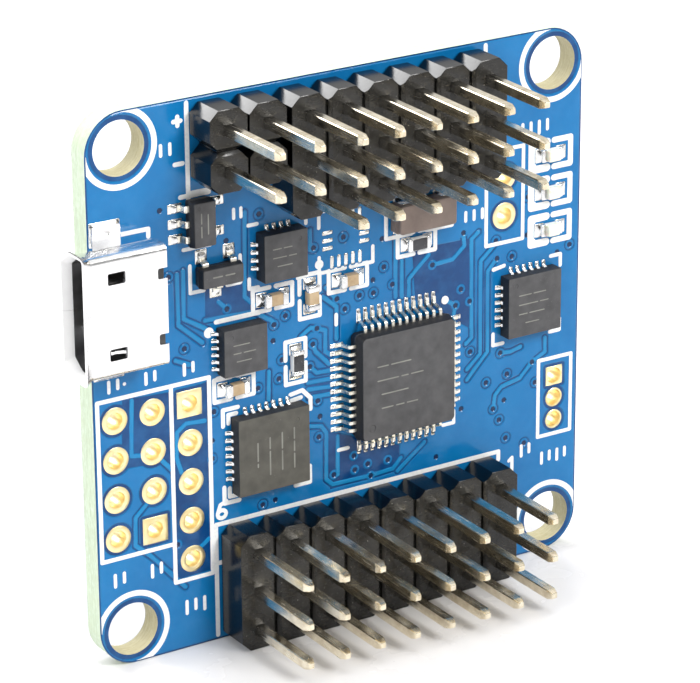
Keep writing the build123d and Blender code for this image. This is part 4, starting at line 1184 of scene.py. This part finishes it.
def leadless(name, stem, c, s, h, n, pitch, width, sides, mat, dimple, dot):
    w0 = T + 0.03
    g = Geo()
    rings = [level(rrect(s, s, 0.05, 2), w0), level(rrect(s, s, 0.05, 2), w0 + h - 0.035), level(rrect(s - 0.03, s - 0.03, 0.05, 2), w0 + h - 0.008), level(rrect(s - 0.07, s - 0.07, 0.05, 2), w0 + h)]
    g.at(*c)
    loft(g, rings, caps=(True, False))
    lid_face(g, rrect(s - 0.07, s - 0.07, 0.05, 2), w0 + h, [(dimple, dot, 0.022, 0.03)])
    make(name + "_moulding", g, [mat], [stem + "_body"], angle=24)
    g = Geo()
    for k in sides:
        for i in range(n):
            q = turn((0, (i - (n - 1) / 2) * pitch), k)
            g.at(c[0] + q[0], c[1] + q[1], 90 * k)
            hw = width / 2
            # terminal tab seen on the side wall
            tab = [(s / 2 + 0.008, -hw * 0.8, w0 + 0.0), (s / 2 + 0.008, hw * 0.8, w0 + 0.0), (s / 2 + 0.008, hw * 0.8, w0 + 0.26), (s / 2 + 0.008, -hw * 0.8, w0 + 0.26)]
            back = [(s / 2 - 0.30, y, w) for _, y, w in tab]
            g.add(np.array(tab + back), [(0, 1, 2, 3), (7, 6, 5, 4), (0, 4, 5, 1), (1, 5, 6, 2), (2, 6, 7, 3), (3, 7, 4, 0)])
            k2 = float(RNG.uniform(0.85, 1.1))
            rings = []
            for x, hh, sh in ((s / 2 - 0.02, 0.27, 1.0), (s / 2 + 0.04, 0.225, 1.0), (s / 2 + 0.10, 0.15 * k2, 1.0), (s / 2 + 0.19, 0.085 * k2, 0.98), (s / 2 + 0.29, 0.045, 0.92), (s / 2 + 0.355, 0.02, 0.75), (s / 2 + 0.375, 0.006, 0.5)):
                a = hw * sh
                sec = [(-a, 0.0), (a, 0.0), (a, hh * 0.6), (a * 0.72, hh), (-a * 0.72, hh), (-a, hh * 0.6)]
                rings.append(np.array([(x, y, T + w) for y, w in sec]))
            loft(g, rings[::-1])
    make(name + "_edge_joints", g, [M["solder"]], [stem + "_terminals"], angle=50)


leadless("motion_sensor", "gyro", GYRO, 4.0, 0.90, 6, 0.50, 0.26, (0, 1, 2, 3), M["epoxy"], (-1.45, 1.45), 0.13)
leadless("bridge_chip", "usb_bridge", BRIDGE, 5.0, 0.90, 7, 0.50, 0.26, (0, 1, 2, 3), M["epoxy_warm"], (1.62, 1.72), 0.14)
leadless("field_sensor", "magnetometer", MAG, 3.0, 1.00, 4, 0.50, 0.26, (0, 1, 2, 3), M["epoxy"], (0.95, 0.95), 0.12)
leadless("storage_chip", "memory_chip", MEM, 3.0, 0.90, 6, 0.45, 0.23, (0, 2), M["epoxy"], (-1.0, 1.0), 0.12)


def rows_of(start, step, dirn, rows):
    """Rows of bars of mixed length: start corner, step between rows, direction along a row."""
    out = []
    for r, row in enumerate(rows):
        x, y = start[0] + step[0] * r, start[1] + step[1] * r
        for a, b in row:
            out.append(((x + dirn[0] * a, y + dirn[1] * a), (x + dirn[0] * b, y + dirn[1] * b)))
    return out


mark_lines(MCU, W0 + 1.40, rows_of((-2.3, 1.35), (0, -0.92), (1, 0), [[(0.0, 0.75), (1.0, 2.4)], [(0.0, 1.5), (1.75, 2.2), (2.45, 3.3)], [(0.3, 2.2)], [(0.3, 1.1), (1.35, 1.9), (2.15, 2.9)]]), 0.042)
w = T + 0.93
mark_lines(BRIDGE, w, rows_of((1.40, 1.25), (-0.86, -0.04), (0, -1), [[(0, 0.7), (0.9, 1.5), (1.7, 2.6)], [(0.1, 1.1), (1.3, 2.5)], [(0.2, 0.9), (1.1, 2.6)], [(0.35, 1.5), (1.7, 1.9)]]), 0.050)
mark_lines(GYRO, w, rows_of((-1.2, 0.75), (0, -0.62), (1, 0), [[(0.0, 0.9), (1.1, 2.0)], [(0.0, 1.4), (1.6, 2.2)], [(0.0, 0.6), (0.8, 1.9)], [(0.5, 1.5)]]), 0.036)
mark_lines(MAG, T + 1.03, rows_of((-0.9, 0.55), (0, -0.55), (1, 0), [[(0.0, 0.55), (0.75, 1.3)], [(0.0, 0.9), (1.1, 1.6)], [(0.3, 1.3)]]), 0.034)
mark_lines(MEM, w, rows_of((-0.85, 0.45), (0, -0.52), (1, 0), [[(0.0, 1.1)], [(0.0, 0.5), (0.7, 1.5)], [(0.2, 1.2)]]), 0.034)

# ======================================================================
# Regulator and transistor
# ======================================================================
def small_body(geo, lu, lv, h, marks_=()):
    w0 = T + 0.06
    mid, w1 = w0 + h * 0.5, w0 + h
    f = lambda k, w: level(rrect(lu - 2 * k, lv - 2 * k, 0.10, 3), w)
    rings = [f(0.09, w0), f(0.075, w0 + 0.02), f(0.008, mid - 0.02), f(0.0, mid - 0.006), f(0.0, mid + 0.006), f(0.008, mid + 0.02), f(0.075, w1 - 0.04), f(0.10, w1 - 0.01), f(0.14, w1)]
    loft(geo, rings, caps=(True, False))
    lid_face(geo, rrect(lu - 0.28, lv - 0.28, 0.10, 3), w1, list(marks_))


def lead_with_joint(gl, gs, path, width, x_toe, x_heel):
    sweep_strip(gl, path, width, 0.13, 0.025)
    rings = []
    for x, wd, hh in ((x_toe + 0.30, width * 0.9, 0.008), (x_toe + 0.22, width * 1.18, 0.03), (x_toe + 0.06, width * 1.24, 0.12), (x_toe - 0.06, width * 1.24, 0.15), (x_heel + 0.05, width * 1.2, 0.06), (x_heel - 0.10, width * 1.1, 0.10), (x_heel - 0.16, width * 0.9, 0.02)):
        sec = [(-wd / 2, 0.0), (wd / 2, 0.0), (wd / 2 - 0.02, hh * 0.6), (wd / 2 - 0.09, hh), (-wd / 2 + 0.09, hh), (-wd / 2 + 0.02, hh * 0.6)]
        rings.append(np.array([(x, a, T + b) for a, b in sec]))
    loft(gs, rings)


g, gl, gs = Geo(), Geo(), Geo()
small_body(g.at(*REG), 1.60, 2.90, 1.05, [((-0.42, 1.05), 0.11, 0.02, 0.03)])
make("regulator_moulding", g, [M["epoxy"]], ["regulator_body"], angle=24)
path = bend_path([(0.55, T + 0.555), (1.00, T + 0.555), (1.13, T + 0.075), (1.42, T + 0.070)], 0.12, 4)
for s, o in ((-1, 0.95), (-1, 0.0), (-1, -0.95), (1, 0.95), (1, -0.95)):
    deg = 0 if s > 0 else 180
    lead_with_joint(gl.at(REG[0], REG[1] + o, deg), gs.at(REG[0], REG[1] + o, deg), path, 0.42, 1.42, 1.10)
make("regulator_gull_leads", gl, [M["lead"]], ["regulator_leads"])
g, gl = Geo(), Geo()
small_body(g.at(*TRAN), 2.90, 1.30, 0.95)
make("transistor_moulding", g, [M["epoxy"]], ["transistor_body"], angle=24)
path = bend_path([(0.40, T + 0.52), (0.82, T + 0.52), (0.95, T + 0.070), (1.22, T + 0.065)], 0.11, 4)
for s, o in ((1, 0.95), (1, -0.95), (-1, 0.0)):
    deg = 90 if s > 0 else -90
    lead_with_joint(gl.at(TRAN[0] + o, TRAN[1], deg), gs.at(TRAN[0] + o, TRAN[1], deg), path, 0.42, 1.22, 0.92)
make("transistor_gull_leads", gl, [M["lead"]], ["transistor_leads"])
make("small_lead_joints", gs, [M["solder"]], [], angle=50)
mark_lines(REG, T + 1.11, [((-0.25, 0.7), (-0.25, 0.1)), ((-0.25, -0.1), (-0.25, -0.75)), ((0.2, 0.6), (0.2, -0.6))], 0.04)
mark_lines(TRAN, T + 1.01, [((-0.7, 0.05), (-0.1, 0.05)), ((0.15, 0.05), (0.75, 0.05))], 0.045)
make("laser_marks", marks, [M["mark"]], [], flat=True)

# ======================================================================
# Resonator
# ======================================================================
g = Geo()
block(g.at(*RESO), 4.20, 1.90, T + 0.02, T + 0.72, 0.16, 0.05, corner=3)
block(g, 4.12, 1.82, T + 0.69, T + 1.12, 0.20, 0.12, b0=0.03, steps=4, corner=4)
make("resonator_ceramic_block", g, [M["reso"]], ["resonator_body"], angle=40)
g = Geo()
for o in (-1.45, 0.0, 1.45):
    for s in (-1, 1):
        g.at(RESO[0] + o, RESO[1] + s * 0.955, 0 if s > 0 else 180)
        block(g, 0.70, 0.05, T + 0.02, T + 0.80, 0.02, 0.02)
        rings = []
        for y, hh, sh in ((-0.01, 0.42, 1.0), (0.05, 0.28, 1.0), (0.12, 0.15, 0.98), (0.20, 0.07, 0.92), (0.235, 0.012, 0.8)):
            a = 0.38 * sh
            rings.append(np.array([(-x, y, T + w) for x, w in ((-a, 0.0), (a, 0.0), (a, hh * 0.7), (a * 0.8, hh), (-a * 0.8, hh), (-a, hh * 0.7))]))
        loft(g, rings[::-1])
make("resonator_bands", g, [M["solder"]], ["resonator_terminals"], angle=45)

# ======================================================================
# Two-terminal pieces
# ======================================================================
def end_cap(geo, l, w, h, cap, s):
    """Plated end with rolled edges, open side inwards, and a concave joint up its face."""
    base = geo.xf

    def flip(p):
        q = np.array(p, float)
        if s < 0:
            q[:, 0] *= -1
            q[:, 1] *= -1
        return base(q)

    geo.xf = flip
    x0, x1 = l / 2 - cap, l / 2
    b = 0.06
    rings = []
    for k, x in ((0.012, x0), (0.0, x0 + 0.02), (0.0, x1 - b), (b * 0.3, x1 - b * 0.3), (b, x1)):
        sec = rrect(w - 2 * k, h - 2 * k, 0.07, 3)
        rings.append(np.array([(x, a, T + 0.01 + h / 2 + c * (h - 0.02) / h) for a, c in sec]))
    loft(geo, rings)
    rings = []
    k2 = float(RNG.uniform(0.85, 1.12))
    top = min(0.46, h * 0.72) * k2
    for x, hh, wd in ((x1 - 0.03, top, w * 0.9), (x1 + 0.03, top * 0.72, w * 0.98), (x1 + 0.09, top * 0.42, w * 1.02), (x1 + 0.17, top * 0.22, w * 1.03), (x1 + 0.26, top * 0.10, w), (x1 + 0.32, 0.008, w * 0.92)):
        a = wd / 2
        rings.append(np.array([(x, y, T + z) for y, z in ((-a, 0.0), (a, 0.0), (a * 0.98, hh * 0.6), (a * 0.80, hh), (-a * 0.80, hh), (-a * 0.98, hh * 0.6))]))
    loft(geo, rings[::-1])
    geo.xf = base


g, ge = Geo(), Geo()
for u, v, turned in CAPS:
    d = (90 if turned else 0) + float(RNG.normal(0, 1.2))
    g.at(u, v, d)
    block(g, 1.56, 0.72, T + 0.03, T + 0.58, 0.07, 0.07, steps=3)
    for s in (-1, 1):
        end_cap(ge.at(u, v, d), 1.60, 0.80, 0.62, 0.40, s)
make("capacitor_blocks", g, [M["cap"]], ["capacitor_bodies"], angle=50)
make("capacitor_caps", ge, [M["solder"]], ["capacitor_end_caps"], angle=50)
g, ge = Geo(), Geo()
for u, v, turned in RESISTORS:
    d = (90 if turned else 0) + float(RNG.normal(0, 1.0))
    g.at(u, v, d)
    block(g, 1.54, 0.78, T + 0.02, T + 0.41, 0.03, 0.02, mat=1)
    block(g, 1.04, 0.72, T + 0.40, T + 0.445, 0.08, 0.02, steps=2, mat=0)
    for s in (-1, 1):
        end_cap(ge.at(u, v, d), 1.60, 0.80, 0.45, 0.27, s)
make("resistor_blocks", g, [M["rescoat"], M["resbody"]], ["resistor_bodies"], angle=40)
make("resistor_caps", ge, [M["solder"]], ["resistor_end_caps"], angle=50)
g, gd, ge = Geo(), Geo(), Geo()
for u, v in LEDS:
    d = float(RNG.normal(0, 0.8))
    block(g.at(u, v, d), 1.54, 0.78, T + 0.02, T + 0.29, 0.03, 0.015)
    block(gd.at(u, v, d), 0.94, 0.77, T + 0.28, T + 0.61, 0.10, 0.12, b0=0.01, steps=4, corner=4, draft=0.02)
    for s in (-1, 1):
        end_cap(ge.at(u, v, d), 1.60, 0.80, 0.31, 0.33, s)
make("led_bases_detail", g, [M["ledbase"]], ["led_bases"], angle=40)
make("led_domes", gd, [M["lens"]], ["led_lenses"], angle=60)
make("led_caps", ge, [M["solder"]], ["led_end_caps"], angle=50)

# ======================================================================
# USB socket
# ======================================================================
USB_V, MOUTH, BACK, WALL = 6.14, -19.30, -13.72, 0.22
HW, HB, HTOP = 7.45 / 2, T + 0.05, T + 2.60


def shell_section(inset, n=5):
    """Keystone section (v, w), clockwise from the middle of the floor, rounded bends."""
    hw, top, bot = HW - inset, HTOP - inset, HB + inset
    corner = [(0.0, bot), (hw - 0.62, bot), (hw, T + 1.15), (hw, top), (0.0, top), (-hw, top), (-hw, T + 1.15), (-hw + 0.62, bot), (0.0, bot)]
    rad = {1: 0.42 - inset, 2: 0.60, 3: 0.42 - inset, 5: 0.42 - inset, 6: 0.60, 7: 0.42 - inset}
    out = [np.array(corner[0])]
    for i in range(1, len(corner) - 1):
        b = np.array(corner[i])
        if i not in rad:
            out.append(b)
            continue
        a, c = np.array(corner[i - 1]), np.array(corner[i + 1])
        d0, d1 = (a - b) / np.linalg.norm(a - b), (c - b) / np.linalg.norm(c - b)
        ang = math.acos(float(np.clip(d0 @ d1, -1, 1)))
        cut = min(rad[i] / math.tan(ang / 2), 0.45 * np.linalg.norm(a - b), 0.45 * np.linalg.norm(c - b))
        for k in range(n + 1):
            t = k / n
            out.append((1 - t) ** 2 * (b + d0 * cut) + 2 * t * (1 - t) * b + t ** 2 * (b + d1 * cut))
    return np.array(out)


OUTER, INNER = shell_section(0.0), shell_section(WALL)
ARC = np.concatenate([[0], np.cumsum(np.linalg.norm(np.diff(np.vstack([OUTER, OUTER[:1]]), axis=0), axis=1))])
LENGTH = ARC[-1]


def on_shell(s, u, side):
    """Point of the sheet at arc length s round the section and depth u; side 0 outer, 1 inner."""
    pts = np.vstack([OUTER, OUTER[:1]]) if side == 0 else np.vstack([INNER, INNER[:1]])
    v = np.interp(s, ARC, pts[:, 0])
    w = np.interp(s, ARC, pts[:, 1])
    # the mouth is flared a little and its lip is rolled
    f = np.clip((MOUTH + 0.62 - u) / 0.62, 0, 1) ** 1.5 * 0.27
    cw = (HTOP + HB) / 2
    v = v * (1 + f / HW)
    w = cw + (w - cw) * (1 + f * 1.05 / ((HTOP - HB) / 2))
    return v + USB_V, w


def s_of(v_top):
    """Arc length of a point on the top wall, v measured from the centre line."""
    i = int(np.argmin(np.hypot(OUTER[:, 0], OUTER[:, 1] - HTOP)))
    return ARC[i] - v_top


def box2(s0, s1, u0, u1, r=0.08):
    return rrect(s1 - s0, u1 - u0, r, 3, ((s0 + s1) / 2, (u0 + u1) / 2))


g = Geo()
wins = []
for s in (-1, 1):
    c = s_of(s * 2.33)
    wins.append(box2(c - 0.36, c + 0.36, -17.62, -16.47, 0.10))
    c = s_of(s * 2.03)
    wins.append(box2(c - 0.33, c + 0.33, BACK - 0.62, BACK + 0.6, 0.12))
# slot for the contact feet in the rear of the floor, and the seam where the sheet meets itself
wins.append(box2(-1.75, 1.75, BACK - 0.70, BACK + 0.6, 0.1))
wins.append(box2(LENGTH - 1.75, LENGTH + 1.75, BACK - 0.70, BACK + 0.6, 0.1))
contours = [np.array([(0.005, MOUTH), (LENGTH - 0.005, MOUTH), (LENGTH - 0.005, BACK), (0.005, BACK)])] + wins
for a in ARC[1:-1]:
    contours.append(np.array([(a, MOUTH), (a, BACK), (a, BACK)])[:2])
for k in (0.03, 0.09, 0.18, 0.28, 0.38, 0.50, 0.62):
    contours.append(np.array([(0.005, MOUTH + k), (LENGTH - 0.005, MOUTH + k)]))
V, F = triangulate(contours)
mid = V[F].mean(axis=1)
ok = (mid[:, 0] > 0.005) & (mid[:, 0] < LENGTH - 0.005) & (mid[:, 1] > MOUTH) & (mid[:, 1] < BACK)
for wn in wins:
    ok &= poly_signed(mid, [tuple(p) for p in wn]) > 0
F = F[ok]
used = np.unique(F)
remap = np.full(len(V), -1)
remap[used] = np.arange(len(used))
V, F = V[used], remap[F]
n = len(V)
vo, wo = on_shell(V[:, 0], V[:, 1], 0)
vi, wi = on_shell(V[:, 0], V[:, 1], 1)
lip = np.clip(1 - (V[:, 1] - MOUTH) / 0.03, 0, 1) * 0.3
outer = np.column_stack([V[:, 1], vo + (vi - vo) * lip, wo + (wi - wo) * lip])
inner = np.column_stack([V[:, 1], vi + (vo - vi) * lip, wi + (wo - wi) * lip])
edges = {}
for f in F:
    for i in range(3):
        edges[(f[i], f[(i + 1) % 3])] = True
walls = [(a, b) for a, b in edges if (b, a) not in edges]
faces = [tuple(f) for f in F] + [(a, a + n, b + n, b) for a, b in walls]
g.add(np.concatenate([outer, inner]), faces)
# painted shade: inner faces deeper than the mouth take the darkened steel
deep = V[F][:, :, 1].mean(axis=1) > -18.62
# painted highlight: inner faces by the mouth take the pale bloom material
g.add(np.concatenate([outer, inner]), [tuple(f[::-1] + n) for f in F[~deep]], 2)
g.add(np.concatenate([outer, inner]), [tuple(f[::-1] + n) for f in F[deep]], 1)
# flanges folded out onto the lands, with a relief hole
for s in (-1, 1):
    a, b = HW - 0.70, HW + 0.96
    outline = rrect(1.86, b - a, 0.16, 4, (-16.36, USB_V + s * (a + b) / 2))
    hole = circle(0.24, 20, (-16.36, USB_V + s * (HW + 0.52)))
    ol, hl = [tuple(p) for p in outline], [tuple(p) for p in hole]
    slab(g, [outline, hole], lambda p: (poly_signed(p, ol) < 0) & (poly_signed(p, hl) > 0), lambda p: np.full(len(p), T + 0.225), lambda p: np.full(len(p), T + 0.015))
# latch spring on one side only, bent down into its window
for s, drop, width in ((-1, 0.16, 0.20),):
    vv = USB_V + s * 2.33
    pts = bend_path([(-16.50, HTOP - 0.13), (-16.66, HTOP - 0.16 - drop * 0.4), (-17.12, HTOP - 0.22 - drop), (-17.34, HTOP - 0.16 - drop)], 0.2, 4)
    g.at(0, vv)
    sweep_strip(g, pts, width, 0.14, 0.03)
g.xf = None
make("usb_folded_shell", g, [M["steel"], M["steel_inside"], M["steel_lip"]], ["usb_shell"], angle=32)
g = Geo()
for s in (-1, 1):
    # solder drawn up around each flange
    outline = rrect(2.00, 1.62, 0.22, 4)
    g.at(-16.36, USB_V + s * (HW + 0.46), 0)
    rings = []
    for k, w in ((0.0, T + 0.004), (0.04, T + 0.05), (0.10, T + 0.10), (0.17, T + 0.155), (0.24, T + 0.175)):
        rings.append(level(rrect(2.00 - 2 * k, 1.38 - 2 * k, 0.22, 4), w))
    loft(g, rings)
make("usb_flange_joints", g, [M["solder"]], ["usb_flange_solder"], angle=60)

g = Geo()
sec = shell_section(WALL + 0.015)
rings = [np.array([(u, p[0] * k + USB_V, (p[1] - T - 1.3) * k + T + 1.3) for p in sec]) for u, k in ((-14.87, 0.97), (-14.80, 1.0), (-13.86, 1.0), (-13.80, 0.96))]
loft(g, rings)
rings = []
for u, k in ((-18.13, 0.0), (-18.10, 0.5), (-18.0, 0.85), (-17.85, 1.0), (-14.80, 1.0)):
    h = 0.16 + 0.14 * k
    sec2 = rrect(3.62 + 0.08 * k, 2 * h, 0.06, 2)
    rings.append(np.array([(u, USB_V + a, T + 1.62 + b) for a, b in sec2]))
loft(g, rings)
make("usb_tongue_and_block", g, [M["liner"]], ["usb_insulator"], angle=35)
g = Geo()
for i in range(5):
    v = USB_V + (i - 2) * 0.65
    g.at(0, v)
    path = bend_path([(-17.80, T + 1.245), (-14.22, T + 1.245), (-14.22, T + 0.08), (-13.12, T + 0.075)], 0.16, 5)
    sweep_strip(g, path, 0.24, 0.14, 0.025)
make("usb_contact_strips", g, [M["gold"]], ["usb_contacts"], angle=35)

# ======================================================================
# CAD nodes that show as they are
# ======================================================================
for node, mat in (("pcb_substrate", "laminate"), ("mcu_die", "silicon"), ("mcu_die_paddle", "lead"), ("gyro_die", "silicon"),
                  ("usb_bridge_die", "silicon"), ("magnetometer_die", "silicon"), ("memory_chip_die", "silicon")):
    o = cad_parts[node]
    o.data.materials.clear()
    o.data.materials.append(M[mat])

# ======================================================================
# Stage, light and camera
# ======================================================================
def floor_material():
    n = Nodes("pale_floor")
    c = n.mix(n.span(n.noise(30.0, 3.0), 0.3, 0.7), (0.76, 0.755, 0.765), (0.73, 0.725, 0.735))
    return n.finish(c, n.span(n.noise(300.0, 3.0), 0.3, 0.7, 0.20, 0.30), None, 0.0, **{"Specular IOR Level": 0.35})


me = bpy.data.meshes.new("floor")
z = -0.01752
me.from_pydata([(-3, -3, z), (3, -3, z), (3, 3, z), (-3, 3, z)], [], [(0, 1, 2, 3)])
me.materials.append(floor_material())
floor = bpy.data.objects.new("floor", me)
bpy.context.scene.collection.objects.link(floor)


def area(name, loc, target, size, power, color=(1, 1, 1), size_y=None):
    d = bpy.data.lights.new(name, "AREA")
    d.energy, d.size, d.color = power, size, color
    if size_y is not None:
        d.shape, d.size_y = "RECTANGLE", size_y
    o = bpy.data.objects.new(name, d)
    bpy.context.scene.collection.objects.link(o)
    o.location = loc
    o.rotation_euler = (Vector(target) - Vector(loc)).to_track_quat("-Z", "Y").to_euler()
    return o


area("top", (0.0, 0.06, 0.46), (0, 0, 0), 0.42, 1.5)
area("key_front", (0.12, -0.30, 0.26), (0, 0, 0), 0.14, 1.35, (1.0, 0.99, 0.97))
area("edge_left", (-0.30, -0.07, 0.14), (0, 0, 0), 0.16, 0.50, (1.0, 1.0, 0.98))
area("back_above", (-0.13, 0.36, 0.21), (0, 0, 0), 0.20, 1.1, (1.0, 1.0, 1.0))

# Soft studio surroundings: bright overhead and behind, darker in front of the
# board at eye level. Seen directly, they are a plain pale backdrop.
world = bpy.data.worlds.new("studio")
bpy.context.scene.world = world
world.use_nodes = True
wt = world.node_tree
bg = wt.nodes["Background"]
wc = wt.nodes.new("ShaderNodeTexCoord")
sx = wt.nodes.new("ShaderNodeSeparateXYZ")
wt.links.new(wc.outputs["Generated"], sx.inputs[0])
def wspan(value, a, b, lo, hi):
    n = wt.nodes.new("ShaderNodeMapRange")
    n.interpolation_type = "SMOOTHSTEP"
    for key, x in (("From Min", a), ("From Max", b), ("To Min", lo), ("To Max", hi)):
        n.inputs[key].default_value = x
    wt.links.new(value, n.inputs["Value"])
    return n.outputs["Result"]
def wmath(op, a, b):
    n = wt.nodes.new("ShaderNodeMath")
    n.operation = op
    for i, x in enumerate((a, b)):
        if isinstance(x, (int, float)):
            n.inputs[i].default_value = x
        else:
            wt.links.new(x, n.inputs[i])
    return n.outputs[0]
overhead = wspan(sx.outputs["Z"], 0.30, 0.95, 0.0, 0.85)
behind = wmath("MULTIPLY", wspan(sx.outputs["Y"], 0.1, 0.8, 0.0, 0.7), wspan(sx.outputs["Z"], 0.10, 0.40, 0.0, 1.0))
right_side = wspan(sx.outputs["X"], 0.0, 0.9, 0.0, 0.25)
soft = wmath("ADD", wmath("ADD", wmath("MAXIMUM", overhead, behind), right_side), 0.08)
path = wt.nodes.new("ShaderNodeLightPath")
seen = wt.nodes.new("ShaderNodeMix")
wt.links.new(path.outputs["Is Camera Ray"], seen.inputs[0])
wt.links.new(soft, seen.inputs[2])
seen.inputs[3].default_value = 0.95
wt.links.new(seen.outputs[0], bg.inputs[1])
bg.inputs[0].default_value = (1.0, 1.0, 1.0, 1.0)
bpy.context.scene.view_settings.view_transform = "Standard"
bpy.context.scene.view_settings.look = "None"

# Perspective camera in front of the component side, above and to the left
r = np.array([0.359, -0.559, -0.111])
th = float(np.linalg.norm(r))
k = r / th
K = np.array([[0, -k[2], k[1]], [k[2], 0, -k[0]], [-k[1], k[0], 0]])
R = (np.eye(3) + math.sin(th) * K + (1 - math.cos(th)) * K @ K) @ np.diag([1.0, -1.0, -1.0])
t = np.array([-0.307, 0.103, 219.178])
C = -R.T @ t


def to_row(vec):
    return Vector((vec[0], -vec[2], vec[1]))


cam = bpy.data.cameras.new("camera")
cam.lens, cam.sensor_width, cam.sensor_fit = 3594.22 * 36.0 / 700.0, 36.0, "HORIZONTAL"
cam.clip_start, cam.clip_end = 0.01, 20.0
cam_o = bpy.data.objects.new("camera", cam)
bpy.context.scene.collection.objects.link(cam_o)
right, up, back = to_row(R[0]), -to_row(R[1]), -to_row(R[2])
pos = to_row(C + np.array([0, 0, T])) * 0.001
mw = Matrix(((right.x, up.x, back.x, pos.x), (right.y, up.y, back.y, pos.y), (right.z, up.z, back.z, pos.z), (0, 0, 0, 1)))
cam_o.matrix_world = mw
bpy.context.scene.camera = cam_o
